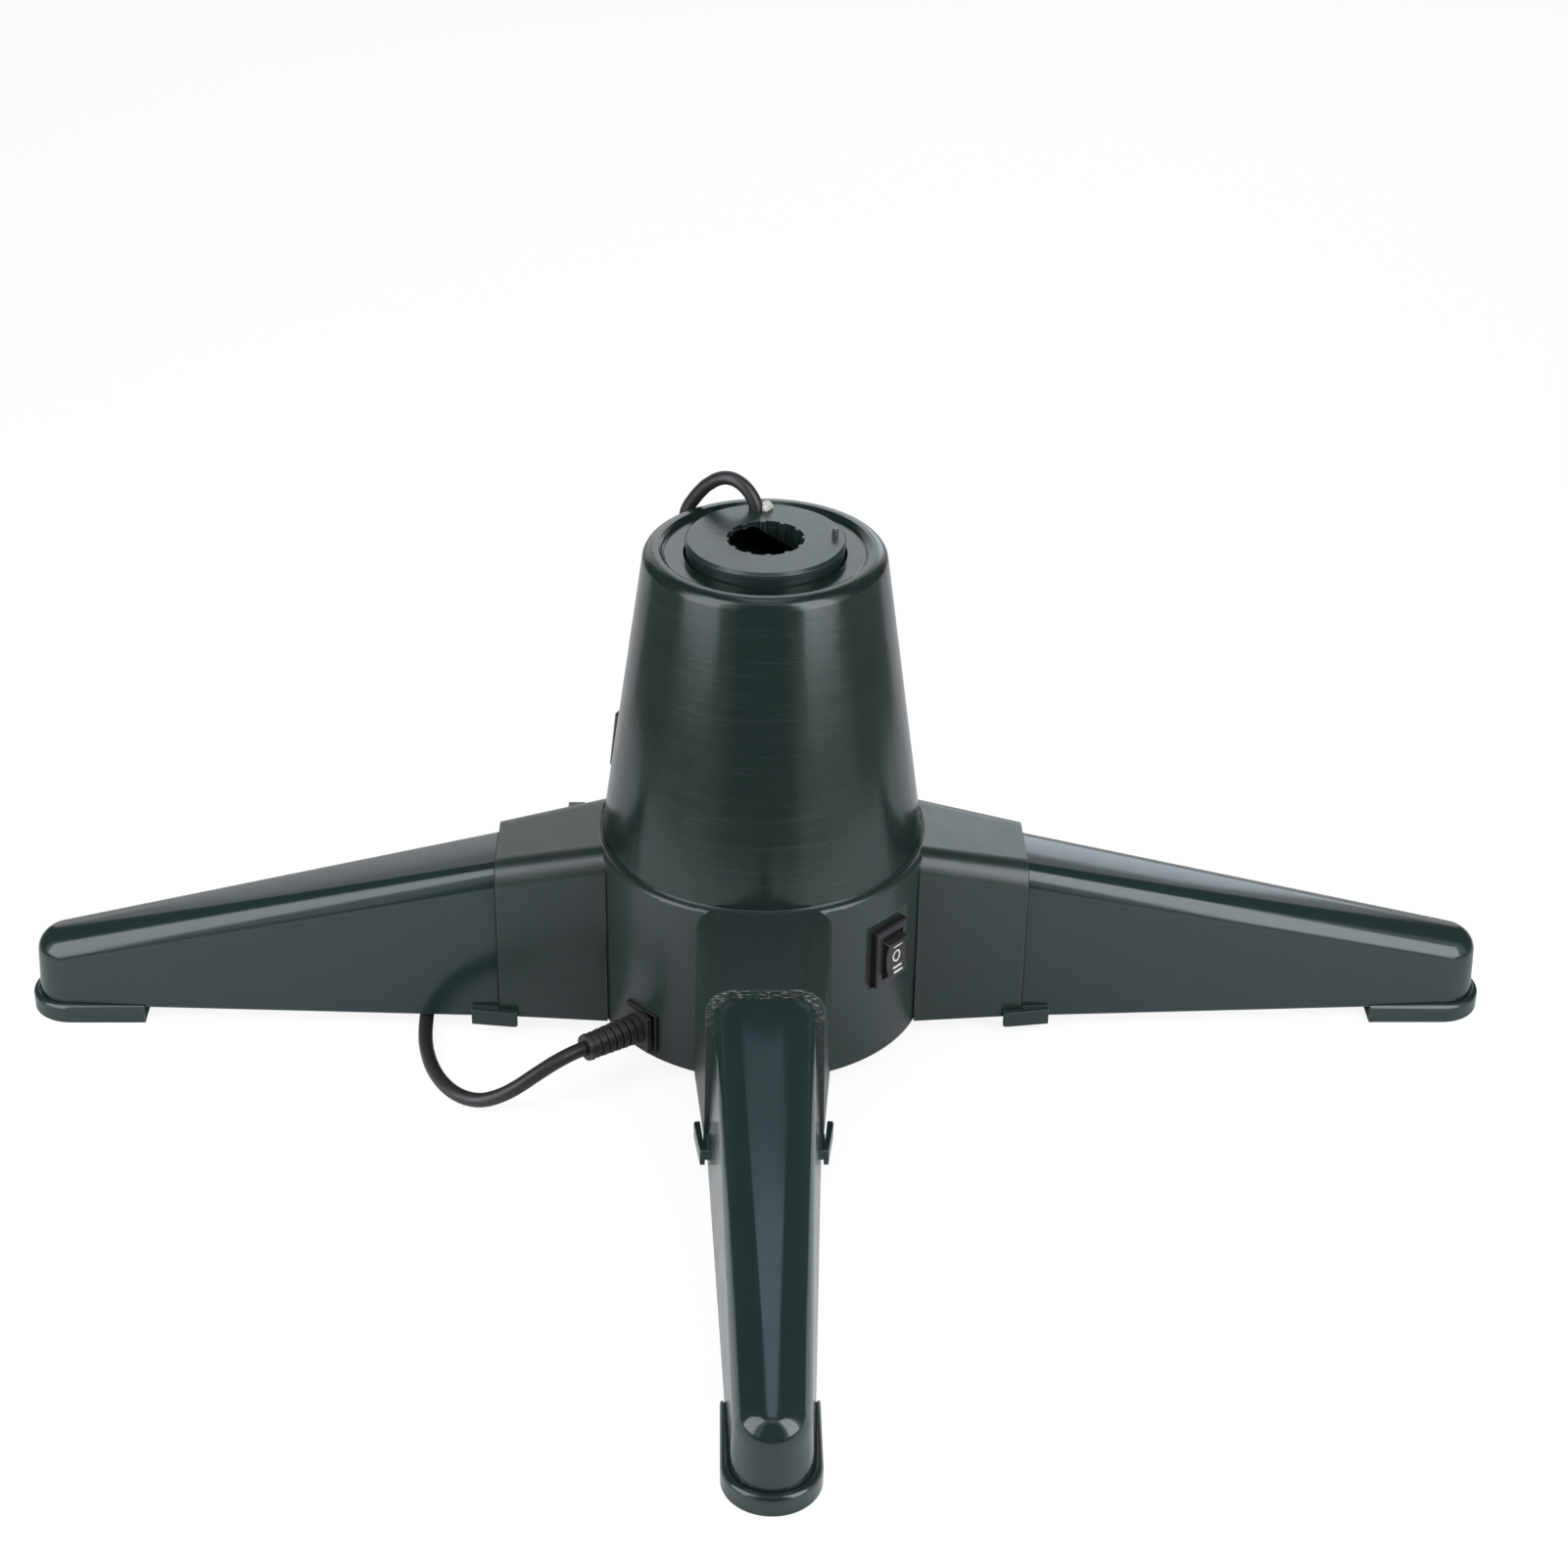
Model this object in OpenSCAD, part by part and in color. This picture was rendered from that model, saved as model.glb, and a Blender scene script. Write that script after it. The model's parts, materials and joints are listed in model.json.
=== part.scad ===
// Rotating tree stand: four clip-on legs round a motor hub, a cone cover, and a geared turntable with a
// splined collar that takes the trunk of the tree. Millimetres, +Z up, floor at z = 0, axis of the turntable on Z.

/* [Legs] */
// Radius from the axis to the tip of each foot
reach = 247.5; // [230:0.5:270]
// Height of the underside of the legs above the floor
leg_lift = 5.6; // [4.5:0.1:7]
// Drop from the top of an arm to the top of the leg at the seam
leg_step = 2.7; // [1.5:0.1:4]
// Height of the top of a leg at its tip
leg_tip_z = 29; // [24:0.5:36]
// Radius of the rounded tip of a leg
leg_tip_r = 11.9; // [9:0.1:12.5]
// Radius of the rounded top edges of a leg
leg_round = 7.5; // [4:0.1:8]
// Wall thickness of a leg
leg_wall = 2.4; // [1.8:0.1:3]
// Draft of the leg sides, in degrees
leg_draft = 3; // [1:0.1:4]
// Number of stiffening ribs across a leg
leg_ribs = 3; // [1:1:4]

/* [Feet] */
// Length of a foot shoe along its leg
foot_length = 39.5; // [34:0.5:46]
// Width of the shoe's rim outside the tip of the leg
foot_rim = 2.4; // [2:0.1:3.2]
// Height of the rim above the underside of the leg
foot_lip = 0.9; // [0.6:0.1:2]

/* [Hub and arms] */
// Outer radius of the hub drum
hub_r = 55.5; // [54:0.1:58]
// Height of the underside of the hub
hub_z = 6.2; // [5:0.1:8]
// Height of the top rim of the hub
rim_z = 70; // [66:0.5:74]
// Wall thickness of the hub
hub_wall = 2.6; // [2.2:0.1:3]
// Radius from the axis to the seam between arm and leg
seam_r = 87.8; // [82:0.2:94]
// Height of the top of an arm at the seam
arm_seam_z = 63.5; // [60:0.5:66]
// Height of the top of an arm where it meets the drum
arm_root_z = 70; // [68:0.2:72]
// Half of the width of an arm at the drum
arm_root_hw = 22.2; // [20:0.1:23]
// Half of the width of an arm at the seam
arm_seam_hw = 19; // [17:0.1:19.5]
// Radius of the rounded top edges of an arm
arm_round = 8; // [5:0.1:9]

/* [Cone cover] */
// Set-back of the cone's foot from the face of the hub
cone_set = 2.6; // [2.4:0.1:3.4]
// Slope of the cone's side, radius lost per unit of height
cone_slope = 0.1416; // [0.12:0.002:0.16]
// Height of the shoulder round the top
shoulder_z = 172.5; // [165:0.2:180]
// Radius of the rounded shoulder
shoulder_round = 4; // [3:0.1:6]
// Radius of the shallow dish under the disc
dish_r = 31.6; // [29:0.1:32]
// Depth of the dish
dish_depth = 1.7; // [1:0.1:2.6]
// Wall thickness of the cone
cone_wall = 2.4; // [2:0.1:2.8]

/* [Turntable] */
// Radius of the turntable disc
disc_r = 25.6; // [25:0.1:28]
// Thickness of the disc
disc_t = 1.7; // [1.6:0.1:3]
// Width of the bevel round the disc
disc_bevel = 0.9; // [0.4:0.1:1.2]
// Height of the disc's underside above the dish
disc_gap = 3.2; // [2.4:0.1:4]
// Radius of the bore that takes the trunk
bore_r = 11.5; // [9:0.1:11.6]
// Radius of the splined collar between its teeth
collar_r = 12.4; // [12.2:0.1:12.6]
// Depth of the splined collar
collar_h = 8; // [5:0.5:12]
// Height of the teeth of the collar
spline_h = 0.8; // [0.5:0.05:0.9]
// Width of a tooth of the collar
spline_w = 1.6; // [1:0.1:2.2]
// Number of teeth in the collar
spline_count = 12; // [8:1:16]
// Outer radius of the tube that carries the trunk
tube_r = 14.5; // [13.8:0.1:15]
// Thickness of the floor of the tube
tube_floor = 5.8; // [5.4:0.1:8]
// Radius of the locating pin in the disc
pin_r = 1; // [0.8:0.05:1.3]
// Height of the locating pin above the disc
pin_h = 2.6; // [1.5:0.1:4]

/* [Drive] */
// Height of the top face of the bearing deck
deck_z = 35; // [34.5:0.1:36]
// Thickness of the bearing deck
deck_t = 3; // [2.6:0.1:3.4]
// Distance between the axes of gear and pinion, as a share of the hub's inner radius
centre_share = 0.7259; // [0.7:0.0001:0.74]
// Teeth of the drive gear
gear_teeth = 48; // [48]
// Teeth of the motor pinion
pinion_teeth = 16; // [16]
// Face width of the drive gear
gear_t = 6; // [5:0.1:7]
// Space between the motor can and the hub's wall
motor_clear = 1.95; // [1.5:0.05:3]
// Height of the motor can
motor_h = 18; // [14:0.5:20]
// Radius of the motor shaft
shaft_r = 2.5; // [2:0.05:3]
// Diameter of the bearing balls
ball_d = 4; // [3.6:0.1:4.4]
// Number of bearing balls
ball_count = 12; // [8:1:14]
// Pitch radius of the ball race
race_r = 23.75; // [23.4:0.05:24]
// Width of a race washer
race_w = 7.5; // [6.5:0.1:7.6]
// Thickness of a race washer
race_t = 1.6; // [1.4:0.1:2]

/* [Slip rings] */
// Radial thickness of the insulating sleeve
sleeve_t = 2.4; // [2:0.1:3]
// Height of a slip ring
ring_h = 4; // [3:0.1:5]
// Radial thickness of a slip ring
ring_t = 1.2; // [0.8:0.1:1.6]
// Distance between the two slip rings
ring_pitch = 10; // [9:0.1:12]
// Width of a brush
brush_w = 4; // [3:0.1:5]

/* [Switch] */
// Azimuth of the switch on the drum, in degrees
switch_az = -42.7; // [-46:0.1:-40]
// Height of the middle of the switch
switch_z = 44.8; // [44.6:0.1:48]
// Width of the bezel
bezel_w = 15; // [14.5:0.1:16]
// Height of the bezel
bezel_h = 21; // [20.5:0.1:22]
// Thickness of the bezel
bezel_t = 3; // [1.5:0.1:3.4]
// Width of the frame of the bezel
bezel_frame = 2.5; // [2.4:0.05:2.6]
// Depth of the flat that the switch sits on, in the face of the hub
flat_depth = 1; // [0.7:0.05:1.3]

/* [Power cord] */
// Diameter of the power cord
cord_d = 4.8; // [4.4:0.1:5]
// Azimuth of the cord's exit on the drum, in degrees
relief_az = -135; // [-136:0.5:-130]
// Azimuth that the ribbed boot points to, in degrees
boot_az = -145; // [-150:0.5:-140]
// Height of the cord's exit
relief_z = 16.5; // [15.5:0.1:18]
// Side of the square flange of the strain relief
flange_w = 14; // [11:0.1:14.4]
// Length of the ribbed boot
boot_length = 20; // [18:0.5:24]
// Number of ribs on the boot
boot_ribs = 7; // [5:1:8]

/* [Outlet] */
// Diameter of the outlet cord
outlet_d = 4.5; // [4:0.1:4.6]
// Azimuth of the middle of the outlet socket, in degrees
outlet_az = 139; // [138:0.1:140]
// Length of the outlet socket
outlet_l = 22; // [20:0.5:26]
// Width of the outlet socket
outlet_w = 15; // [13:0.1:16]
// Depth of the outlet socket
outlet_t = 10; // [9:0.1:11]

/* [Hidden] */
$fn = 96;

green = [0.20, 0.25, 0.24];
leg_green = [0.17, 0.23, 0.23];
black = [0.09, 0.08, 0.09];
steel = [0.62, 0.63, 0.64];
brass = [0.72, 0.58, 0.30];
white = [0.86, 0.86, 0.82];

fit = 0.3;       // gap between pieces that lie side by side
run = 0.06;      // radial clearance of a shaft in its bearing
eps = 0.01;      // overlap that joins two shapes of one piece

// Arms and legs
arm_fall = (arm_root_z - arm_seam_z) / (seam_r - hub_r);
arm_tilt = atan(arm_fall);
end_wall = 3;
leg_r0 = seam_r + 0.2;
leg_side_step = 0.7;
leg_root_hw = arm_seam_hw - leg_side_step;
leg_root_z = arm_seam_z - leg_step;
rib_t = 1.8;
hook_y = 9;
hook_w = 6;
hook_t = 4.2;
hook_drop = 17;
latch_l = 15.4;
latch_h = 5.6;
latch_back = 5.9;
latch_t = 1.6;
latch_drop = 1.9;
latch_open = 2;
tip_r = reach - foot_rim - leg_tip_r;
foot_r0 = reach - foot_length;
foot_hw = leg_tip_r + foot_rim;

// Hub
cone_r = hub_r - cone_set;
hub_in = hub_r - hub_wall;
lip_r = cone_r + 0.7;
ledge_z = rim_z - 1.2;
ledge_t = 2.8;
ledge_r = cone_r - 3.4;
rim_round = 1.5;
base_t = 3;
base_top = hub_z + base_t;
deck_under = deck_z - deck_t;
post_az = [20, 160, 200, 340];
post_r = 4;
post_R = hub_r - 10.5;
case_screw_l = 10;
plate_screw_seat = 1.8;
pilot_r = 1.3;
screw_r = 1.2;

// Cone
bead_r = cone_r + 0.4;
bead_h = 1.4;
side_angle = atan(cone_slope);
bead_top = ledge_z + bead_h;
platform_z = shoulder_z - dish_depth;
dish_slope = 2.2;
round_z = shoulder_z - shoulder_round;
function cone_at(z) = cone_r - cone_slope * (z - bead_top);
round_r = cone_at(round_z) - shoulder_round / cos(side_angle);
cup_r = disc_r + 0.2;
cup_floor = platform_z - 6.8;
bush_t = 2.4;
collar_in = tube_r + bush_t + run;
collar_z = cup_floor - 12;
hook_az = [45, 135, 225, 315];

// Turntable
disc_z = platform_z + disc_gap;
disc_top = disc_z + disc_t;
hub_of_disc_r = cup_r - 0.6;
hub_of_disc_z = cup_floor + 1.4;

// Drive: the stack on the deck, from the lower race to the floor of the tube
groove_clear = 0.2;
ball_z = deck_z + race_t - 0.5 + ball_d / 2;
upper_race_z = 2 * ball_z - deck_z - race_t;
gear_z = upper_race_z + race_t;
tube_z = gear_z + gear_t;
bore_z = tube_z + tube_floor;
centre_d = round(100 * centre_share * hub_in) / 100;
gear_module = 2 * centre_d / (gear_teeth + pinion_teeth);
gear_pr = gear_module * gear_teeth / 2;
pinion_pr = gear_module * pinion_teeth / 2;
motor_r = hub_in / 2 - motor_clear;
motor_y = hub_in - motor_clear - motor_r;
motor_top = deck_under - 0.4;
ear_x = motor_r + 5.5;
gear_screw_r = 8.6;
gear_screw_az = [90, 210, 330];

// Slip rings
sleeve_r = tube_r + run + sleeve_t;
sleeve_z = tube_z + 2.5;
ring_z = sleeve_z + 6;
sleeve_top = ring_z + ring_pitch + ring_h + 4;
ring_r = sleeve_r + ring_t;
holder_r0 = ring_r + 2.6;
holder_r2 = hub_in - 11.1;
holder_r1 = holder_r2 - 9;
spring_l = 4.7;

// Switch
flat_r = hub_r - flat_depth;
rocker_w = bezel_w - 2 * bezel_frame - 0.4;
rocker_hh = bezel_h / 2 - bezel_frame - 0.6;
pivot_r = flat_r - 2;
switch_depth = 14;
body_inset = 1.1;

// Cords
relief_R = hub_r - 0.6;
boot_r = 5.1;
plate_t = 1.6;
function cyl(az, r, z) = [r * cos(az), r * sin(az), z];
boot_dir = cyl(boot_az, 1, 0);
boot_end = cyl(relief_az, relief_R, relief_z) + boot_dir * (2 * plate_t + boot_length);
// Route of the power cord from the boot, over the floor and under the left leg, to the coil
cord_route = [
  [-65.6, -57.1, 15.6], [-70.1, -59.4, 13.9], [-74.8, -61.5, 11.6], [-79.8, -63.2, 8.8],
  [-85.2, -64, 6.1], [-91, -63.5, 4], [-96.4, -60.9, 2.9], [-101.2, -56.8, 2.6], [-105.2, -51.2, 2.6],
  [-108.4, -44.4, 2.6], [-110.8, -36.4, 2.6], [-112.4, -27, 2.6], [-113, -16, 2.6], [-113, -5, 2.6],
  [-112.8, 5.4, 2.6], [-111.2, 14, 2.6], [-107.2, 21.6, 2.6], [-100.8, 27.2, 2.7], [-92.6, 29.8, 2.9],
  [-84, 29.95, 3.2], [-77, 29.875, 3.4]
];
// Coil of the spare cord, behind the left leg
coil_c = [-66, 60];
coil_z = 3.4;
coil_in = 20;
coil_step = 6;
coil_rise = 5.3;
coil_layers = 4;
coil_turns = 1.6875;
coil_start = 270;
coil_out = coil_in + coil_step * coil_turns;
layer_turns = coil_turns + 0.5;
coil_total = coil_layers * layer_turns - 0.5;
coil_top_z = coil_z + coil_rise * (coil_layers - 1);
// Route of the cord from the coil down to the plug
tail_route = [
  [-35.875, 69.6, 19.3], [-35.8, 74.6, 18.8], [-35.7, 79.5, 17.4], [-35.6, 84.3, 15.2], [-35.5, 89, 12.5],
  [-35.5, 93.6, 9.9], [-35.5, 98, 8], [-35.5, 102, 7], [-35.5, 105, 6.8]
];
plug_at = [-35.5, 108, 6.8];
plug_w = 20;
plug_h = 13;
plug_l = 22;
plug_boot_l = 11;
blade_gap = 12.7;
// Route of the outlet cord over the shoulder: distance from the disc's hole, and height above the disc's underside
exit_x = -2.7;
exit_y = 21.2;
outlet_arch = [
  [0, 2], [0.6, 4.1], [1.7, 5.9], [3.2, 7.6], [4.9, 8.9], [6.9, 9.8], [9, 10.2], [11.2, 10], [13.2, 9.3],
  [15.1, 8.2], [16.9, 6.8], [18.5, 5.4], [19.9, 3.8], [21.3, 2.1], [22.6, 0.3], [23.8, -1.5], [24.9, -3.4],
  [25.7, -5.4]
];
// The rest, as angle, distance from the cone's flank and height below the shoulder
outlet_drop = [
  [127.1, 2.9, 6.1], [128, 2.8, 9.3], [129, 2.7, 13.3], [130.2, 2.7, 18.5], [131.5, 2.7, 24.5], [132.7, 2.8, 30.5],
  [133.9, 3, 36.5], [135, 3.4, 42.5], [136.2, 3.9, 48.5], [137.3, 4.4, 54.5], [138.3, 4.9, 60.5]
];
arch_az = 150.5;
outlet_route = concat(
  [for (p = outlet_arch) [exit_x + p[0] * cos(arch_az), exit_y + p[0] * sin(arch_az), disc_z + p[1]]],
  [for (p = outlet_drop) let(z = shoulder_z - p[2]) cyl(p[0], cone_at(z) + p[1], z)]
);
socket_z = arm_root_z + 1.6;
socket_gap = 0.4;
socket_boot = 8;

// ---------------------------------------------------------------- shared shapes

// Outline with rounded top corners, drawn as wide as 2 * hw at its base and drafted inwards above
module arch(hw, z0, z1, r, draft = 0) {
  lean = tan(draft) * (z1 - r - z0);
  polygon([
    [-hw, z0], [hw, z0], [hw - lean, z1 - r], [hw - lean - r, z1],
    [r + lean - hw, z1], [lean - hw, z1 - r]
  ]);
  for (s = [-1, 1]) translate([s * (hw - lean - r), z1 - r]) circle(r, $fn = 48);
}

// Thin upright slice of an arch across the X axis, thickness t from x
module slice(x, t, hw, z0, z1, r, draft = 0)
  translate([x, 0, 0]) rotate([90, 0, 90]) linear_extrude(t) arch(hw, z0, z1, r, draft);

module ring(r1, r2, z1, z2)
  translate([0, 0, z1]) difference() {
    cylinder(r = r2, h = z2 - z1);
    translate([0, 0, -1]) cylinder(r = r1, h = z2 - z1 + 2);
  }

// Screw with its head's underside at z = 0, shank pointing down, head above
module screw(head_r, head_h, length) {
  difference() {
    cylinder(r = head_r, h = head_h);
    for (a = [0, 90]) rotate(a) translate([-head_r * 0.6, -0.35, head_h * 0.45]) cube([head_r * 1.2, 0.7, head_h]);
  }
  translate([0, 0, -length]) cylinder(r = screw_r, h = length + eps);
}

// Box with its upright edges rounded
module rounded_box(l, w, h, r) {
  translate([-l / 2 + r, -w / 2, 0]) cube([l - 2 * r, w, h]);
  translate([-l / 2, -w / 2 + r, 0]) cube([l, w - 2 * r, h]);
  for (x = [-1, 1], y = [-1, 1]) translate([x * (l / 2 - r), y * (w / 2 - r), 0]) cylinder(r = r, h = h, $fn = 32);
}

// ---------------------------------------------------------------- hub and cover

module arm_outside()
  hull() {
    slice(hub_r - 4, 0.5, arm_root_hw, hub_z, arm_root_z + 3.8 * arm_fall, arm_round, 0.6, $fn = 32);
    slice(seam_r - 0.5, 0.5, arm_seam_hw, hub_z, arm_seam_z, arm_round, 0.6, $fn = 32);
  }

module arm_cavity() {
  inner = arm_seam_hw - hub_wall;
  deep = 90;
  intersection() {
    translate([seam_r, 0, arm_seam_z]) rotate([0, arm_tilt, 0]) translate([-deep, 0, 0])
      slice(0, deep + 20, inner, -deep, -hub_wall, arm_round - hub_wall);
    translate([hub_r - hub_wall / 2, -30, hub_z - 5]) cube([seam_r - end_wall - hub_r + hub_wall / 2, 60, 80]);
  }
}

module arm_slots()
  for (s = [-1, 1])
    translate([seam_r - end_wall - 1, s * hook_y - hook_w / 2 - fit, leg_root_z - hook_drop - 0.4])
      cube([end_wall + 2, hook_w + 2 * fit, hook_t + 0.8]);

module drum() {
  rotate_extrude() {
    polygon([
      [hub_in, hub_z], [hub_r, hub_z], [hub_r, rim_z - rim_round], [hub_r - rim_round, rim_z], [lip_r, rim_z],
      [lip_r, ledge_z], [ledge_r, ledge_z], [ledge_r, ledge_z - ledge_t], [hub_in, ledge_z - ledge_t]
    ]);
    translate([hub_r - rim_round, rim_z - rim_round]) intersection() {
      circle(rim_round);
      square(rim_round);
    }
  }
  for (a = post_az) rotate(a) {
    translate([post_R, 0, base_top]) cylinder(r = post_r, h = deck_under - base_top);
    translate([post_R, -1.5, base_top]) cube([hub_in - post_R + 0.5, 3, deck_under - base_top]);
  }
}

module switch_place() rotate(switch_az) translate([0, 0, switch_z]) children();

module hub_housing() color(green) difference() {
  union() {
    drum();
    for (a = [0:90:270]) rotate(a) difference() {
      arm_outside();
      difference() {
        arm_cavity();
        translate([(hub_r + seam_r) / 2, -30, hub_z + 14]) cube([2, 60, 80]);
      }
      arm_slots();
      translate([0, 0, hub_z - 1]) cylinder(r = hub_r - hub_wall / 2, h = rim_z);
    }
    // Flat pad behind the square flange of the strain relief
    rotate(relief_az) translate([hub_in, -flange_w / 2, relief_z - flange_w / 2])
      cube([relief_R - hub_in, flange_w, flange_w]);
  }
  for (a = post_az) rotate(a) translate([post_R, 0, base_top - 1]) cylinder(r = pilot_r, h = deck_under);
  // Flat and cut-out for the switch
  switch_place() {
    translate([flat_r, -bezel_w / 2 - 2.8, -bezel_h / 2 - 0.6]) cube([10, bezel_w + 5.6, bezel_h + 3.6]);
    translate([flat_r - 10, -bezel_w / 2 + body_inset - fit / 2, -bezel_h / 2 + body_inset - fit / 2])
      cube([20, bezel_w - 2 * body_inset + fit, bezel_h - 2 * body_inset + fit]);
  }
  // Seat and hole for the cord
  rotate(relief_az) {
    translate([relief_R, -flange_w / 2 - fit, relief_z - flange_w / 2 - fit]) cube([10, flange_w + 2 * fit, flange_w + 2 * fit]);
    translate([hub_r - 10, 0, relief_z]) rotate([0, 90, 0]) cylinder(r = cord_d / 2 + 1.1, h = 20);
  }
}

module base_plate() color(green) difference() {
  translate([0, 0, hub_z]) cylinder(r = hub_in - fit, h = base_t);
  for (a = post_az) rotate(a) translate([post_R, 0, hub_z]) {
    translate([0, 0, -1]) cylinder(r = pilot_r + 0.3, h = base_t + 2);
    translate([0, 0, -1]) cylinder(r = 2.9, h = plate_screw_seat + 1);
  }
  // Cooling slots under the motor
  for (i = [-3:3]) translate([i * 7 - 1.5, motor_y - 11, hub_z - 1]) cube([3, 22, base_t + 2]);
}

module cone_cover() color(green) {
  foot_in = cone_r - cone_wall;
  under = platform_z - cone_wall;
  rotate_extrude() {
    difference() {
      union() {
        polygon([
          [0, ledge_z], [bead_r, ledge_z], [bead_r, bead_top], [cone_r, bead_top],
          [cone_at(round_z), round_z], [round_r + shoulder_round * cos(side_angle), round_z + shoulder_round * sin(side_angle)],
          [round_r, shoulder_z], [dish_r + dish_slope, shoulder_z], [dish_r, platform_z], [0, platform_z]
        ]);
        translate([round_r, round_z]) circle(shoulder_round);
      }
      // Inside of the cone, of the cup under the disc and of the collar for the bush
      polygon([
        [collar_in + 2.4, ledge_z - 1], [foot_in, ledge_z - 1], [foot_in, bead_top],
        [cone_at(under - 1) - cone_wall, under - 1], [round_r - 1, under], [cup_r + 2.4, under],
        [cup_r + 2.4, cup_floor - 2.4], [collar_in + 2.4, cup_floor - 2.4]
      ]);
      translate([0, cup_floor]) square([cup_r, 30]);
      square([collar_in, 400]);
      square([collar_in + 2.4 + eps, collar_z]);
    }
  }
  // Snap hooks that reach through the ledge of the hub
  for (a = hook_az) rotate(a) {
    translate([ledge_r - fit - 2.4, -5, ledge_z + 0.4]) cube([cone_r - ledge_r + 0.7 + fit, 10, 9]);
    translate([ledge_r - fit - 2.4, -5, ledge_z - ledge_t - 4]) cube([2.4, 10, ledge_t + 5]);
    translate([0, 5, 0]) rotate([90, 0, 0]) linear_extrude(10) polygon([
      [ledge_r - fit - eps, ledge_z - ledge_t - 4], [ledge_r - fit + 0.4, ledge_z - ledge_t - 4],
      [ledge_r + 1.2, ledge_z - ledge_t - fit], [ledge_r - fit - eps, ledge_z - ledge_t - fit]
    ]);
  }
}

// ---------------------------------------------------------------- legs and feet

// Tapered leg shape; inset shrinks it on every side, for the hollow
module leg_form(inset, x0) {
  tip_top = leg_tip_z - inset;
  r = leg_tip_r - inset;
  round = leg_round - inset;
  lean = tan(leg_draft) * (tip_top - round - leg_lift);
  down = inset > 0 ? 2 : 0;
  fall = (leg_root_z - leg_tip_z) / (tip_r - leg_r0);
  widen = (leg_root_hw - leg_tip_r) / (tip_r - leg_r0);
  hull() {
    slice(x0, 0.5, leg_root_hw - inset - widen * (x0 - leg_r0), leg_lift - down,
      leg_root_z - inset - fall * (x0 - leg_r0), round, leg_draft, $fn = 24);
    translate([tip_r, 0, 0]) {
      translate([0, 0, leg_lift - down]) cylinder(r1 = r, r2 = r - lean, h = tip_top - round - leg_lift + down, $fn = 32);
      translate([0, 0, tip_top - round]) rotate_extrude($fn = 32) intersection() {
        translate([r - lean - round, 0]) circle(round, $fn = 32);
        square([r - lean, round]);
      }
    }
  }
}

// Latch finger at the foot of the seam: free at the hub end, joined to the leg by a web
module latch_finger() {
  side = leg_root_hw;
  tip = latch_l - latch_back;
  web_l = tip - leg_r0 + seam_r - 0.4;
  translate([seam_r, 0, leg_lift - latch_drop]) {
    linear_extrude(latch_h) polygon([
      [-latch_back, side + latch_open], [-latch_back, side + latch_open + latch_t], [1 - latch_back, side + latch_open + latch_t + 0.4],
      [tip, side + 0.4 + latch_t], [tip, side + 0.4]
    ]);
    translate([tip - web_l, side - 1.6, latch_drop]) cube([web_l, 2.6, latch_h - latch_drop]);
  }
}

module leg_hooks()
  for (s = [-1, 1]) translate([seam_r - end_wall - 2.4, s * hook_y - hook_w / 2, leg_root_z - hook_drop]) {
    cube([end_wall + 4, hook_w, hook_t]);
    translate([0, 0, -2.4]) cube([2.1, hook_w, 3]);
  }

module leg() color(leg_green) {
  difference() {
    leg_form(0, leg_r0);
    difference() {
      leg_form(leg_wall, leg_r0 + leg_wall);
      for (i = [1:leg_ribs]) translate([leg_r0 + i * (foot_r0 - leg_r0 - 10) / (leg_ribs + 0.4), -30, leg_lift + 2])
        cube([rib_t, 60, 80]);
    }
  }
  latch_finger();
  mirror([0, 1, 0]) latch_finger();
  leg_hooks();
}

module foot() color(leg_green) {
  lip_z = leg_lift + foot_lip;
  soft = 1.6;
  groove_end = 3.4;
  pocket = leg_tip_r + 0.4;
  spare = leg_tip_r - leg_wall - 0.5;
  slope = (leg_root_hw - leg_tip_r) / (tip_r - leg_r0);
  root = pocket + slope * (foot_length + 2);
  difference() {
    union() {
      translate([foot_r0, 0, 0]) rotate([90, 0, 90]) linear_extrude(tip_r - foot_r0) arch(foot_hw, 0, lip_z, soft);
      translate([tip_r, 0, 0]) rotate(-90) rotate_extrude(angle = 180) {
        square([foot_hw - soft, lip_z]);
        square([foot_hw, lip_z - soft]);
        translate([foot_hw - soft, lip_z - soft]) circle(soft);
      }
    }
    // Recess that the end of the leg stands in
    translate([0, 0, leg_lift]) linear_extrude(5) {
      translate([tip_r, 0]) circle(pocket);
      polygon([
        [tip_r - foot_length - 2, -root], [tip_r, -pocket], [tip_r, pocket], [tip_r - foot_length - 2, root]
      ]);
    }
    // Grip grooves under the sole, closed at their ends
    for (i = [0:4]) translate([foot_r0 + 8 + i * 6, groove_end - foot_hw, -1]) cube([1.4, 2 * (foot_hw - groove_end), 1.6]);
  }
  // Plug that grips inside the hollow leg
  translate([tip_r, 0, leg_lift - eps]) cylinder(r = spare, h = 5);
  translate([foot_r0 + 12, -spare + 0.6, leg_lift - eps]) cube([tip_r - foot_r0 - 12, 2 * spare - 1.2, 5]);
}

leg_turn = [["front", -90], ["right", 0], ["back", 90], ["left", 180]];
module leg_at(name) for (t = leg_turn) if (t[0] == name) rotate(t[1]) leg();
module foot_at(name) for (t = leg_turn) if (t[0] == name) rotate(t[1]) foot();

// ---------------------------------------------------------------- turntable

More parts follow.
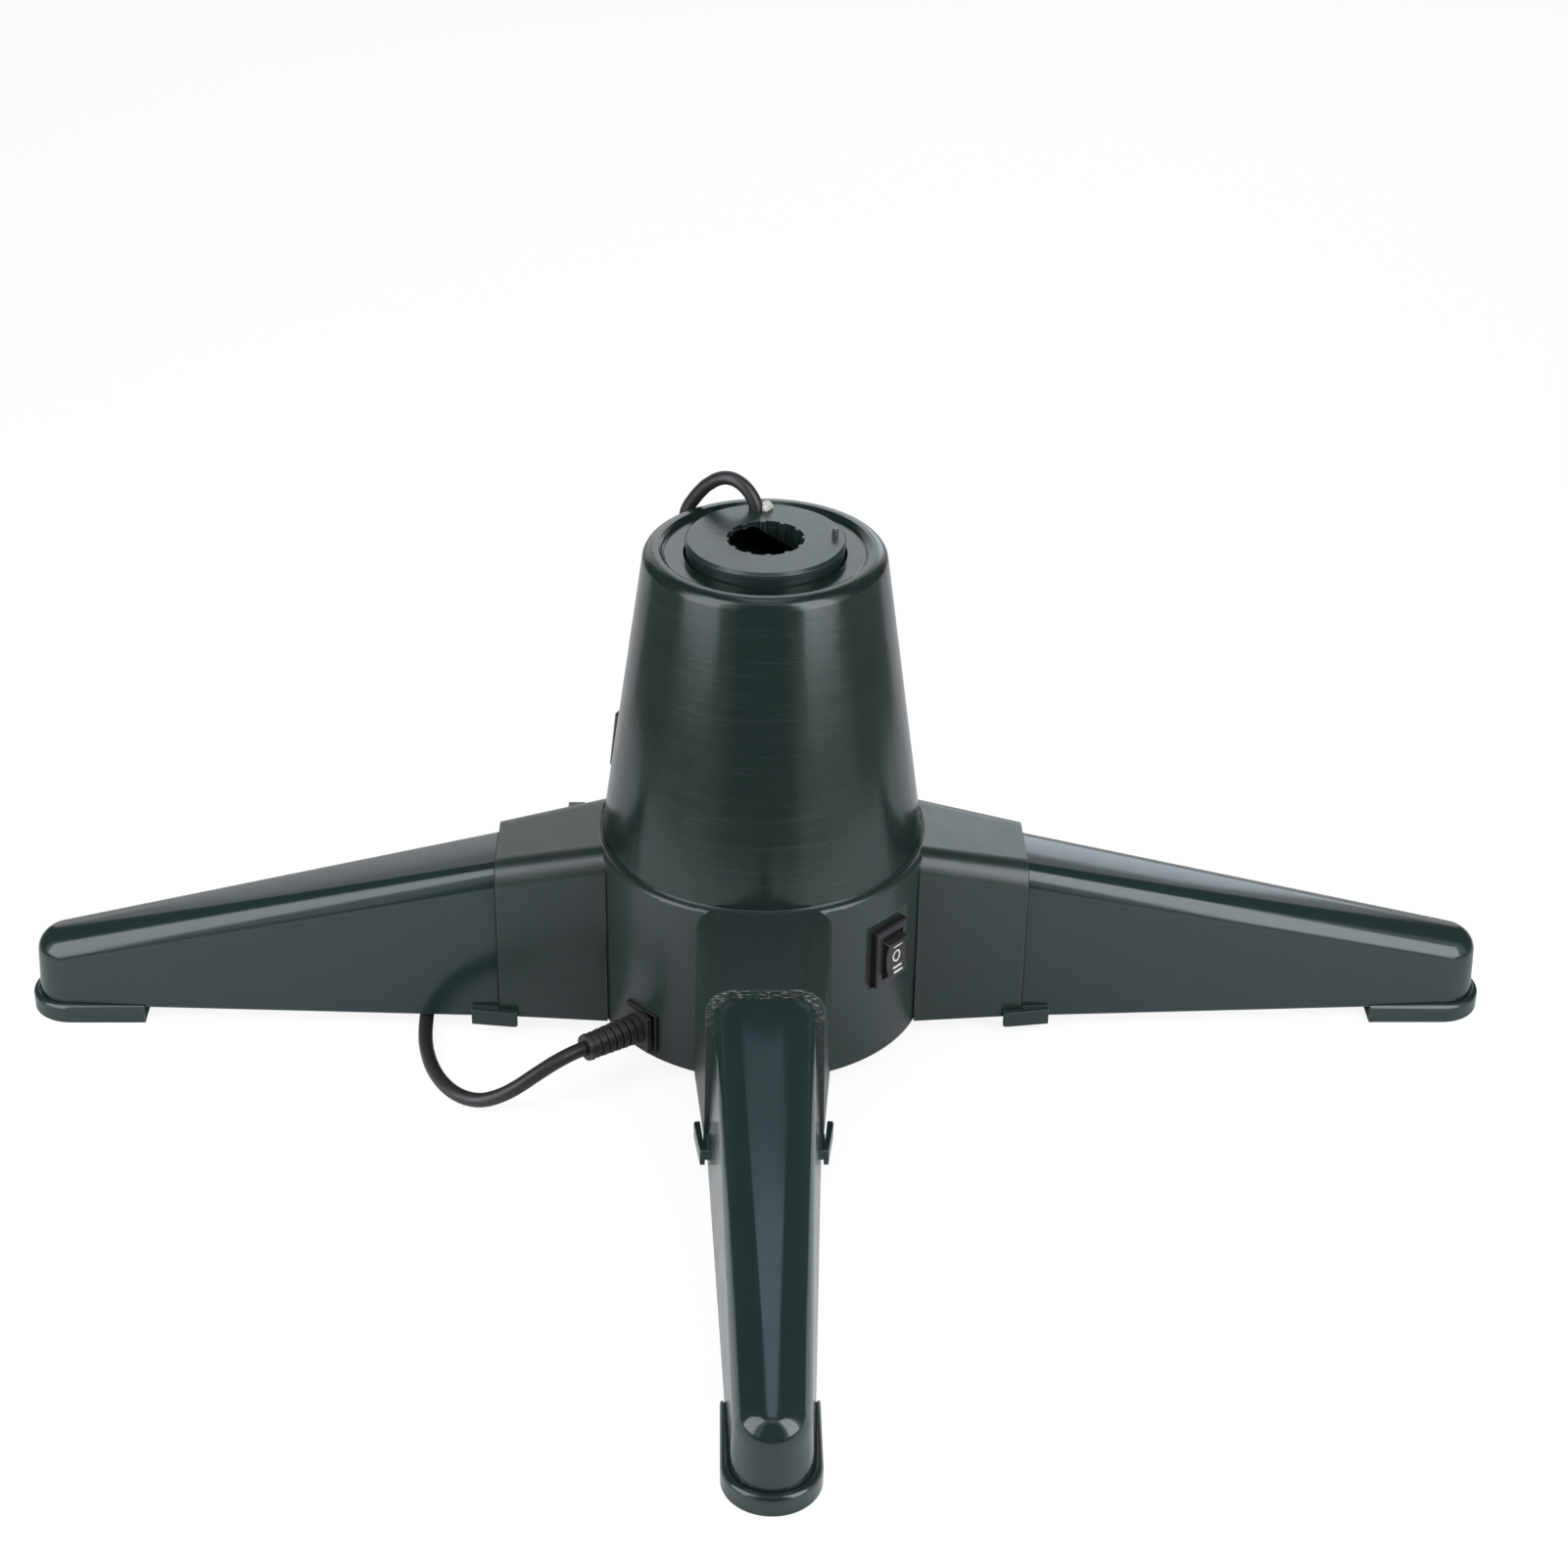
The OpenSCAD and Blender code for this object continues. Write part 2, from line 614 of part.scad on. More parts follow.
module turntable() color(green) difference() {
  rotate_extrude() {
    polygon([
      [0, disc_z], [disc_r - 0.3, disc_z], [disc_r, disc_z + 0.3], [disc_r, disc_top - disc_bevel],
      [disc_r - disc_bevel, disc_top], [0, disc_top]
    ]);
    translate([0, hub_of_disc_z]) square([hub_of_disc_r, disc_z - hub_of_disc_z + eps]);
    translate([0, tube_z]) square([tube_r, disc_z - tube_z]);
  }
  translate([0, 0, bore_z]) cylinder(r = bore_r, h = 400);
  difference() {
    translate([0, 0, disc_top - collar_h]) cylinder(r = collar_r, h = collar_h + 1);
    for (i = [0:spline_count - 1]) rotate(3 + i * 360 / spline_count)
      translate([collar_r - spline_h, -spline_w / 2, disc_top - collar_h - 1]) cube([spline_h + 1, spline_w, collar_h + 1]);
  }
  translate([22 * cos(4), 22 * sin(4), disc_top - 5]) cylinder(r = pin_r + 0.02, h = 6);
  translate([exit_x, exit_y, hub_of_disc_z + 1.2]) cylinder(r = outlet_d / 2 + 0.15, h = 20);
  for (a = gear_screw_az) rotate(a) translate([gear_screw_r, 0, tube_z - 1]) cylinder(r = pilot_r, h = tube_floor);
}

module index_pin() color(steel) translate([22 * cos(4), 22 * sin(4), 0]) {
  translate([0, 0, disc_top - 5]) cylinder(r = pin_r, h = 4.7 + pin_h);
  translate([0, 0, disc_top + pin_h - 0.3]) cylinder(r1 = pin_r, r2 = pin_r - 0.3, h = 0.3);
}

// Uneven dab of sealant beside the cord
module cord_seal() color(white) translate([exit_x, exit_y, disc_top]) difference() {
  intersection() {
    union() {
      translate([2.9, 0.3, 0.5]) sphere(1.3, $fn = 16);
      translate([3.6, -0.6, -0.2]) sphere(1.2, $fn = 16);
      translate([3.1, 0.9, 1.7]) sphere(0.8, $fn = 12);
    }
    cylinder(r = 8, h = 4);
  }
  translate([0, 0, -1]) cylinder(r = outlet_d / 2 + 0.1, h = 6);
}

// ---------------------------------------------------------------- drive

// Involute flank point at radius r for base radius rb, turned so that the flank is half a tooth from the middle
function inv(rb, r) = let(c = acos(rb / r)) tan(c) * 180 / PI - c;
function gear_points(m, n, play) =
  let(
    rp = m * n / 2, rb = rp * cos(20), ra = rp + m, rf = rp - 1.2 * m,
    half = 90 / n - play / rp * 90 / PI,
    at = function (r) half + inv(rb, rp) - inv(rb, max(r, rb)),
    steps = [max(rb, rf + 0.1), (rb + ra) / 2 - 0.1 * m, (rb + 3 * ra) / 4, ra]
  )
  [for (i = [0:n - 1]) let(a = i * 360 / n) each concat(
    [let(b = a - at(steps[0])) rf * [cos(b - 0.4), sin(b - 0.4)]],
    [for (r = steps) let(b = a - at(r)) r * [cos(b), sin(b)]],
    [for (j = [3:-1:0]) let(r = steps[j], b = a + at(r)) r * [cos(b), sin(b)]],
    [let(b = a + at(steps[0])) rf * [cos(b + 0.4), sin(b + 0.4)]]
  )];

module drive_gear() color(white) translate([0, 0, gear_z]) difference() {
  union() {
    linear_extrude(gear_t) polygon(gear_points(gear_module, gear_teeth, 0.12));
    ring(race_r - race_w / 2 - 2, race_r - race_w / 2 - 0.2, -1, eps);
  }
  translate([0, 0, -1]) cylinder(r = 5, h = gear_t + 2);
  for (a = gear_screw_az) rotate(a) translate([gear_screw_r, 0, 0]) {
    translate([0, 0, -1]) cylinder(r = pilot_r + 0.2, h = gear_t + 2);
    translate([0, 0, -1]) cylinder(r = 2.7, h = 3.2);
  }
  // Thinned web between hub and rim
  translate([0, 0, gear_t - 1.6]) ring(tube_r + 1.5, gear_pr - 4.5, 0, 3);
}

module gear_screws() color(steel) for (a = gear_screw_az) rotate(a)
  translate([gear_screw_r, 0, gear_z + 2.2]) mirror([0, 0, 1]) screw(2.4, 1.8, gear_t + 2.4);

module race_washer(z, groove_up) color(steel) difference() {
  ring(race_r - race_w / 2, race_r + race_w / 2, z, z + race_t);
  rotate_extrude() translate([race_r, ball_z]) circle(ball_d / 2 + groove_clear);
}

module lower_race() race_washer(deck_z);
module upper_race() race_washer(upper_race_z);

module ball_cage() color(brass) difference() {
  ring(race_r - race_w / 2 + 0.6, race_r + race_w / 2 - 0.6, ball_z - 0.8, ball_z + 0.8);
  for (i = [0:ball_count - 1]) rotate(i * 360 / ball_count) translate([race_r, 0, ball_z - 2])
    cylinder(r = ball_d / 2 + 0.15, h = 4, $fn = 32);
}

module bearing_balls() color(steel) for (i = [0:ball_count - 1])
  rotate(i * 360 / ball_count) translate([race_r, 0, ball_z]) sphere(ball_d / 2, $fn = 32);

module bearing_deck() color(black) difference() {
  union() {
    translate([0, 0, deck_under]) cylinder(r = hub_in - 0.4, h = deck_t);
    ring(race_r - race_w / 2 - 2, race_r - race_w / 2 - 0.2, deck_z - eps, deck_z + 1);
  }
  translate([0, 0, deck_under - 1]) cylinder(r = 12, h = deck_t + 3);
  translate([0, centre_d, deck_under - 1]) cylinder(r = 6.4, h = deck_t + 2);
  for (s = [-1, 1]) translate([s * ear_x, motor_y, deck_under - 1]) cylinder(r = screw_r + 0.3, h = deck_t + 2);
  for (a = post_az) rotate(a) translate([post_R, 0, deck_under - 1]) cylinder(r = screw_r + 0.3, h = deck_t + 2);
  for (s = [-1, 1]) translate([s * 5, -holder_r2 + 2.6, deck_under - 1]) cylinder(r = pilot_r, h = deck_t + 2);
  // Way for the wires from the cord and the switch
  rotate(relief_az) translate([38, -4, deck_under - 1]) cube([8, 8, deck_t + 2]);
}

module top_bush() color(white) ring(tube_r + run, collar_in, collar_z + 0.4, cup_floor);

module motor_can() color(steel) {
  difference() {
    union() {
      translate([0, motor_y, motor_top - motor_h]) cylinder(r = motor_r, h = motor_h);
      translate([0, motor_y, deck_under - 1]) intersection() {
        translate([-ear_x, -5, 0]) cube([2 * ear_x, 10, 1]);
        cylinder(r = ear_x, h = 1);
      }
      for (s = [-1, 1]) translate([s * ear_x, motor_y, deck_under - 1]) cylinder(r = 4, h = 1);
    }
    for (s = [-1, 1]) translate([s * ear_x, motor_y, deck_under - 3]) cylinder(r = screw_r + 0.3, h = 5);
    translate([0, centre_d, motor_top - 1.2]) cylinder(r = 6.1, h = 5);
  }
}

module motor_gearbox() color(brass) difference() {
  translate([0, centre_d, motor_top - 1.2]) cylinder(r = 6, h = 4.6);
  translate([0, centre_d, motor_top - 3]) cylinder(r = shaft_r + run, h = 20);
}

module motor_shaft() color(steel)
  translate([0, centre_d, motor_top - 0.8]) cylinder(r = shaft_r, h = gear_z + gear_t - motor_top + 2);

module motor_pinion() color(white) translate([0, centre_d, 0]) difference() {
  union() {
    translate([0, 0, gear_z + 0.5]) rotate(180 / pinion_teeth)
      linear_extrude(gear_t - 1) polygon(gear_points(gear_module, pinion_teeth, 0.12));
    translate([0, 0, gear_z - 2.4]) cylinder(r = shaft_r + 2.4, h = 3);
  }
  translate([0, 0, gear_z - 5]) cylinder(r = shaft_r + 0.03, h = gear_t + 10);
}

module motor_screws() color(steel) for (s = [-1, 1])
  translate([s * ear_x, motor_y, deck_z]) screw(2.4, 1.8, deck_t + 4.2);

module motor_nuts() color(steel) for (s = [-1, 1])
  translate([s * ear_x, motor_y, deck_under - 3.2]) difference() {
    cylinder(r = 3, h = 2.2, $fn = 6);
    translate([0, 0, -1]) cylinder(r = screw_r + 0.05, h = 5);
  }

// ---------------------------------------------------------------- slip rings and brushes

module slip_ring_sleeve() color(black) {
  ring(tube_r + run, sleeve_r, sleeve_z, sleeve_top);
  ring(sleeve_r - eps, ring_r + 0.8, ring_z + ring_h + 1, ring_z + ring_pitch - 1);
  ring(sleeve_r - eps, ring_r + 0.8, sleeve_z, sleeve_z + 2);
}

module slip_rings() color(brass) for (i = [0, 1])
  ring(sleeve_r + 0.02, ring_r, ring_z + i * ring_pitch, ring_z + i * ring_pitch + ring_h);

module brush_level() for (i = [0, 1]) translate([0, 0, ring_z + i * ring_pitch + ring_h / 2]) children();

module brush_holder() color(black) rotate(-90) difference() {
  union() {
    translate([holder_r1, -8, deck_z]) cube([holder_r2 - holder_r1, 16, 2.4]);
    translate([holder_r1, -brush_w / 2 - 2, deck_z]) cube([4, brush_w + 4, ring_z + ring_pitch + ring_h + 3 - deck_z]);
    brush_level() translate([holder_r0, -brush_w / 2 - 1.4, -3]) cube([holder_r1 - holder_r0 + 1, brush_w + 2.8, 6]);
  }
  brush_level() translate([holder_r0 - 1, -brush_w / 2 - 0.15, -1.65]) cube([holder_r1 - holder_r0 + 1, brush_w + 0.3, 3.3]);
  for (s = [-1, 1]) translate([holder_r2 - 2.6, s * 5, deck_z - 1]) cylinder(r = screw_r + 0.2, h = 5);
}

module carbon_brushes() color([0.25, 0.25, 0.26]) rotate(-90) brush_level()
  translate([ring_r + fit, -brush_w / 2, -1.5]) cube([holder_r1 - ring_r - fit - spring_l, brush_w, 3]);

module brush_springs() color(steel) rotate(-90) brush_level()
  translate([holder_r1 - spring_l, 0, 0]) rotate([0, 90, 0]) ring(0.6, 1.2, 0, spring_l);

module brush_screws() color(steel) rotate(-90) for (s = [-1, 1])
  translate([holder_r2 - 2.6, s * 5, deck_z + 2.4]) screw(2.2, 1.6, deck_t + 1.4);

// ---------------------------------------------------------------- screws of the case

module deck_screws() color(steel) for (a = post_az) rotate(a)
  translate([post_R, 0, deck_z]) screw(2.8, 1.9, case_screw_l);

module base_screws() color(steel) for (a = post_az) rotate(a)
  translate([post_R, 0, hub_z + plate_screw_seat]) mirror([0, 0, 1]) screw(2.7, 1.7, case_screw_l);

// ---------------------------------------------------------------- switch

module switch_housing() color(black) switch_place() {
  bw = bezel_w - 2 * body_inset;
  bh = bezel_h - 2 * body_inset;
  ow = bezel_w - 2 * bezel_frame;
  oh = bezel_h - 2 * bezel_frame;
  difference() {
    union() {
      // Bezel with a bevelled edge
      translate([flat_r, 0, 0]) rotate([90, 0, 90]) {
        linear_extrude(bezel_t - 0.7) square([bezel_w, bezel_h], center = true);
        hull() {
          translate([0, 0, bezel_t - 0.71]) linear_extrude(0.02) square([bezel_w, bezel_h], center = true);
          translate([0, 0, bezel_t - 0.02]) linear_extrude(0.02) square([bezel_w - 1.2, bezel_h - 1.2], center = true);
        }
      }
      translate([flat_r - switch_depth, -bw / 2, -bh / 2]) cube([switch_depth + eps, bw, bh]);
    }
    translate([flat_r - switch_depth + 3, -ow / 2, -oh / 2]) cube([switch_depth + 20, ow, oh]);
    translate([pivot_r, 0, 0]) rotate([90, 0, 0]) cylinder(r = 1 + run, h = ow + 2.2, center = true);
  }
}

module switch_rocker() color(black) switch_place() translate([pivot_r, 0, 0]) {
  h = rocker_hh;
  out = flat_r + bezel_t - pivot_r + 3;
  translate([0, rocker_w / 2, 0]) rotate([90, 0, 0]) linear_extrude(rocker_w) difference() {
    polygon([[-2, -2.5], [0, -h + 0.2], [1.5, -h], [out, -h + 1.4], [out, h - 1.4], [1.5, h], [0, h - 0.2], [-2, 2.5]]);
    // Hollow of the finger face
    translate([out + 14.6, 0]) circle(16);
  }
  rotate([90, 0, 0]) cylinder(r = 1, h = rocker_w + 2, center = true);
}

module switch_terminals() color(brass) switch_place() for (z = [-6, 0, 6])
  translate([flat_r - switch_depth - 7, -2.4, z - 0.4]) cube([7, 4.8, 0.8]);

// ---------------------------------------------------------------- cords

function unit(v) = v / norm(v);
function tangent(p, i) = unit(p[min(i + 1, len(p) - 1)] - p[max(i - 1, 0)]);
function square_to(n, t) = unit(n - (n * t) * t);
// Normals carried along the path without twist
function normals(p) = [
  for (i = 0, n = square_to([0.1, 0.2, 1], tangent(p, 0)); i < len(p); n = square_to(n, tangent(p, i + 1)), i = i + 1) n
];

// Round tube of radius r swept along points p, closed by a flat face at each end
module tube(p, r, sides) {
  n = normals(p);
  last = len(p) - 1;
  pts = [for (i = [0:last]) let(t = tangent(p, i), b = cross(t, n[i]))
    for (k = [0:sides - 1]) p[i] + r * (cos(k * 360 / sides) * n[i] + sin(k * 360 / sides) * b)];
  function id(i, k) = i * sides + k % sides;
  polyhedron(pts, concat(
    [for (k = [1:sides - 2]) [0, k, k + 1]],
    [for (k = [1:sides - 2]) [id(last, 0), id(last, k + 1), id(last, k)]],
    [for (i = [0:last - 1], k = [0:sides - 1]) each [
      [id(i, k), id(i + 1, k), id(i + 1, k + 1)], [id(i, k), id(i + 1, k + 1), id(i, k + 1)]
    ]]
  ));
}

module strain_relief() color(black) {
  rotate(relief_az) translate([relief_R, 0, relief_z]) {
    translate([0, -flange_w / 2, -flange_w / 2]) cube([plate_t, flange_w, flange_w]);
    translate([-7, 0, 0]) rotate([0, 90, 0]) cylinder(r = cord_d / 2 + 0.9, h = 8);
  }
  translate(cyl(relief_az, relief_R, relief_z)) rotate([0, 90, boot_az]) {
    rib = boot_length / (boot_ribs + 0.5);
    // Second square plate, square to the boot
    translate([-flange_w / 2 + 0.4, -flange_w / 2 + 0.4, plate_t]) cube([flange_w - 0.8, flange_w - 0.8, plate_t]);
    translate([0, 0, 1]) cylinder(r = 3.7, h = 2 * plate_t + boot_length - 1);
    for (i = [0:boot_ribs - 1]) translate([0, 0, 2 * plate_t + 0.4 + i * rib])
      cylinder(r1 = boot_r - i * 0.1, r2 = boot_r - 0.2 - i * 0.1, h = rib * 0.62);
    translate([0, 0, 2 * plate_t + boot_length - rib * 0.55]) cylinder(r1 = 4.6, r2 = 4.4, h = rib * 0.55);
  }
}

module relief_nut() color(black) rotate(relief_az) translate([hub_in - 3.4, 0, relief_z]) rotate([0, 90, 0])
  ring(cord_d / 2 + 1, 6, 0, 3);

module power_cord() color(black) {
  tube(concat([boot_end, boot_end + boot_dir * 4], cord_route, [cord_end]), cord_d / 2, 8);
  tube(concat([coil_exit], tail_route, [plug_at]), cord_d / 2, 8);
}
cord_end = [coil_c[0] - cord_d, coil_c[1] - coil_out, coil_z];
coil_exit = [coil_c[0] + coil_out, coil_c[1] + cord_d, coil_top_z];

// Radius and height of the coil after u turns: out to in and back, one layer up in each half turn between
function coil_r(u) =
  let(k = min(floor(u / layer_turns), coil_layers - 1), f = min((u - k * layer_turns) / coil_turns, 1))
  k % 2 == 0 ? coil_out - coil_step * coil_turns * f : coil_in + coil_step * coil_turns * f;
function coil_h(u) =
  let(k = min(floor(u / layer_turns), coil_layers - 1), f = max(0, (u - k * layer_turns - coil_turns) / 0.5))
  coil_z + coil_rise * (k + min(f, 1));
coil_rings = 24;
coil_points = concat(
  [cord_end],
  [for (i = [0:round(coil_total * coil_rings)]) let(u = i / coil_rings, a = coil_start + 360 * u)
    [coil_c[0] + coil_r(u) * cos(a), coil_c[1] + coil_r(u) * sin(a), coil_h(u)]],
  [coil_exit]
);
// Least distance between the axes of the tube's turns, less its diameter
coil_gap = min([for (i = [0:2:len(coil_points) - 1], j = [i + 12:len(coil_points) - 1])
  norm(coil_points[i] - coil_points[j])]) - cord_d;

module power_cord_coil() color(black) tube(coil_points, cord_d / 2, 6);

module coil_tie() color(black) translate([coil_c[0], coil_c[1], 0]) rotate(90) difference() {
  t = 0.8;
  low = coil_z - cord_d / 2 - 0.1;
  high = coil_top_z + cord_d / 2 + 0.1;
  translate([coil_in - cord_d / 2 - 0.5 - t, -3, low - t]) cube([coil_out - coil_in + cord_d + 1 + 2 * t, 6, high - low + 2 * t]);
  translate([coil_in - cord_d / 2 - 0.5, -4, low]) cube([coil_out - coil_in + cord_d + 1, 8, high - low]);
}

module power_plug() color(black) translate(plug_at) {
  difference() {
    translate([0, plug_boot_l + plug_l / 2, -plug_h / 2 + 0.2]) rotate(90) rounded_box(plug_l, plug_w, plug_h, 4);
    for (s = [-1, 1]) translate([s * blade_gap / 2 - 0.8, plug_boot_l + plug_l - 6, -3.3]) cube([1.6, 10, 6.6]);
  }
  rotate([-90, 0, 0]) {
    cylinder(r1 = 3.2, r2 = 4.8, h = plug_boot_l + 1);
    for (i = [0:2]) translate([0, 0, 1.5 + 3 * i]) cylinder(r = 4.2 + 0.4 * i, h = 1.6);
  }
}

module plug_blades() color(brass) translate(plug_at) for (s = [-1, 1])
  translate([s * blade_gap / 2 - 0.75, plug_boot_l + plug_l - 5.8, -3.15]) cube([1.5, 22.8, 6.3]);

module outlet_cord() color(black)
  tube(concat([[exit_x, exit_y, hub_of_disc_z + 1.4]], outlet_route,
    [socket_point(outlet_l + socket_boot + 3), socket_point(outlet_l + socket_boot)]), outlet_d / 2, 8);

// Frame of the socket: +Z up the flank of the cone, +X away from it, mouth at z = 0
module socket_place() rotate(outlet_az) translate([cone_at(socket_z), 0, socket_z]) rotate([0, -side_angle, 0])
  translate([socket_gap + outlet_t / 2, 0, 0]) children();
function socket_point(z) =
  let(x = socket_gap + outlet_t / 2, c = cos(side_angle), q = sin(side_angle))
  cyl(outlet_az, cone_at(socket_z) + x * c - z * q, socket_z + x * q + z * c);

module outlet_socket() color(black) socket_place() {
  difference() {
    union() {
      rounded_box(outlet_t, outlet_w, outlet_l - 2, 2.5);
      // Shoulders that taper to the boot
      hull() {
        translate([0, 0, outlet_l - 2.01]) rounded_box(outlet_t, outlet_w, 0.01, 2.5);
        translate([0, 0, outlet_l + 1]) rounded_box(outlet_t - 3, outlet_w - 6, 0.01, 2.5);
      }
    }
    for (y = [-3.2, 3.2]) translate([-2.2, y - 0.75, -1]) cube([4.4, 1.5, 13]);
  }
  translate([0, 0, outlet_l]) cylinder(r1 = 3.6, r2 = 2.9, h = socket_boot);
}

module outlet_contacts() color(brass) socket_place() for (y = [-3.2, 3.2], s = [-1, 1])
  translate([-2, y + s * 0.55 - 0.15, 1.5]) cube([4, 0.3, 9]);

echo(coil_gap = coil_gap, total_height = disc_top, coil_across = 2 * coil_out + cord_d);

hub_housing();
base_plate();
cone_cover();
leg_at("front");  // leg_front
leg_at("right");  // leg_right
leg_at("back");  // leg_back
leg_at("left");  // leg_left
foot_at("front");  // foot_front
foot_at("right");  // foot_right
foot_at("back");  // foot_back
foot_at("left");  // foot_left
turntable();
index_pin();
cord_seal();
drive_gear();
gear_screws();
bearing_deck();
lower_race();
ball_cage();
bearing_balls();
upper_race();
top_bush();
motor_can();
motor_gearbox();
motor_shaft();
motor_pinion();
motor_screws();
motor_nuts();
slip_ring_sleeve();
slip_rings();
brush_holder();
carbon_brushes();
brush_springs();
brush_screws();
deck_screws();
base_screws();
switch_housing();
switch_rocker();
switch_terminals();
strain_relief();
relief_nut();
power_cord();
power_cord_coil();
coil_tie();
power_plug();
plug_blades();
outlet_cord();
outlet_socket();
outlet_contacts();
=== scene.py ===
"""Rotating stand for an artificial Christmas tree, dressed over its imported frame.

Four clip-on legs round a motor hub, a cone cover, a slowly turning disc with a splined pole socket and its own
outlet lead. Metres throughout, +Z up, the disc's axis on Z, the front leg towards -Y. Sizes that are given in
millimetres are turned to metres by MM.
"""
import json
import math

import bmesh
import bpy
import numpy as np
from mathutils import Matrix, Vector

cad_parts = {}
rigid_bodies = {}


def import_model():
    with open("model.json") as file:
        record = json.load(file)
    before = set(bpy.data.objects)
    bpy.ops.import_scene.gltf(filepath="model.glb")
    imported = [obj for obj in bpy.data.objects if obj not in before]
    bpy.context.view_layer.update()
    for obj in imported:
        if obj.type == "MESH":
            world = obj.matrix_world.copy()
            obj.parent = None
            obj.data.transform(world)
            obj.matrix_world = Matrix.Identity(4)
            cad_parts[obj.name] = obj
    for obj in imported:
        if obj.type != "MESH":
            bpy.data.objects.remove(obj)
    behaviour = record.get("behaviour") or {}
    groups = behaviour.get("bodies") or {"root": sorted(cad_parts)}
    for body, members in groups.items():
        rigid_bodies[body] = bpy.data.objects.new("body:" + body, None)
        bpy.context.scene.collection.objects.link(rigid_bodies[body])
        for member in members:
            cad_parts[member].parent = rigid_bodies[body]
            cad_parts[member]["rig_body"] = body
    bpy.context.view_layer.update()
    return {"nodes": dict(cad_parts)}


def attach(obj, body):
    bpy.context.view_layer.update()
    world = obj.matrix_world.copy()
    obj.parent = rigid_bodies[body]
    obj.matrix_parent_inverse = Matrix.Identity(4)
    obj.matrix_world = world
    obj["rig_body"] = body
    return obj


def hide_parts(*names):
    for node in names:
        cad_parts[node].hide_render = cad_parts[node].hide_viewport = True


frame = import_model()
MM = 0.001

# ---------------------------------------------------------------------------------------------------------------
# The photographer's corner
# A matt white floor under a white surround, with the camera a little above the stand. Soft boxes stand left, right
# and behind, strips hang above, and grey cards between them draw the dark bands on the glossy plastic.


def add(tree, kind, settings=(), links=()):
    """Adds a shader node of that kind with its properties or input values, and links its inputs. A link is given as
    a socket, or as a node, which then stands for its first output."""
    node = tree.nodes.new("ShaderNode" + kind)
    for key, value in dict(settings).items():
        if isinstance(key, str) and hasattr(node, key):
            setattr(node, key, value)
        else:
            node.inputs[key].default_value = value
    for key, source in dict(links).items():
        tree.links.new(source.outputs[0] if isinstance(source, bpy.types.Node) else source, node.inputs[key])
    return node


def bare_tree(data):
    """The emptied node tree of a material or a world."""
    data.use_nodes = True
    data.node_tree.nodes.clear()
    return data.node_tree


def grid_mesh(name, points, closed_u=False, closed_v=False, caps=False):
    """Mesh of a grid of points (rows u, columns v). Quad (i, j) joins rows i, i+1 and columns j, j+1, its normal
    along dP/du x dP/dv. A closed direction wraps round; caps fill the first and last row, when v is closed."""
    rows, columns = points.shape[:2]
    quads_u, quads_v = rows if closed_u else rows - 1, columns if closed_v else columns - 1
    i, j = np.meshgrid(np.arange(quads_u), np.arange(quads_v), indexing="ij")

    def corner(a, b):
        return (a % rows) * columns + b % columns

    faces = np.stack([corner(i, j), corner(i + 1, j), corner(i + 1, j + 1), corner(i, j + 1)], -1)
    faces = faces.reshape(-1, 4).tolist()
    if caps:
        faces += [list(range(columns)), [(rows - 1) * columns + k for k in reversed(range(columns))]]
    mesh = bpy.data.meshes.new(name)
    mesh.from_pydata(points.reshape(-1, 3).tolist(), [], faces)
    mesh.shade_smooth()
    return mesh


scene = bpy.context.scene
scene.view_settings.view_transform = "Standard"

# The camera: turned from +Y by yaw, tipped down by pitch and leant by roll, with its focal length in pixels
yaw, pitch, roll = map(math.radians, (1.693, -30.560, 0.960))
eye = np.array([-17.8, -842.7, 583.6]) * MM
focal_pixels, image_pixels, sensor_mm = 3032.14, 1601, 36
ahead = np.array([math.sin(yaw) * math.cos(pitch), math.cos(yaw) * math.cos(pitch), math.sin(pitch)])
level = np.array([math.cos(yaw), -math.sin(yaw), 0])
over = np.cross(level, ahead)
right = level * math.cos(roll) + over * math.sin(roll)
up = over * math.cos(roll) - level * math.sin(roll)
turned = np.stack([right, up, -ahead], 1)
camera = bpy.data.objects.new("camera", bpy.data.cameras.new("camera"))
scene.collection.objects.link(camera)
camera.matrix_world = Matrix([[*row, at] for row, at in zip(turned, eye)] + [[0, 0, 0, 1]])
camera.data.sensor_width = sensor_mm
camera.data.lens = sensor_mm * focal_pixels / image_pixels
camera.data.clip_end = 50
scene.camera = camera

# The surround: full white where it is seen, directly or in a reflection, and a weak even fill on the stand
fill = 0.30
world = bpy.data.worlds.new("white surround")
scene.world = world
sky = bare_tree(world)
rays = add(sky, "LightPath")
seen = add(sky, "Math", {"operation": "MAXIMUM"},
           {0: rays.outputs["Is Camera Ray"], 1: rays.outputs["Is Transmission Ray"]})
mirrored = add(sky, "Math", {"operation": "MAXIMUM"}, {0: seen, 1: rays.outputs["Is Glossy Ray"]})
strength = add(sky, "MapRange", {"To Min": fill, "To Max": 1.0}, {"Value": mirrored})
white = add(sky, "Background", {"Color": (1, 1, 1, 1)}, {"Strength": strength})
add(sky, "OutputWorld", (), {"Surface": white})

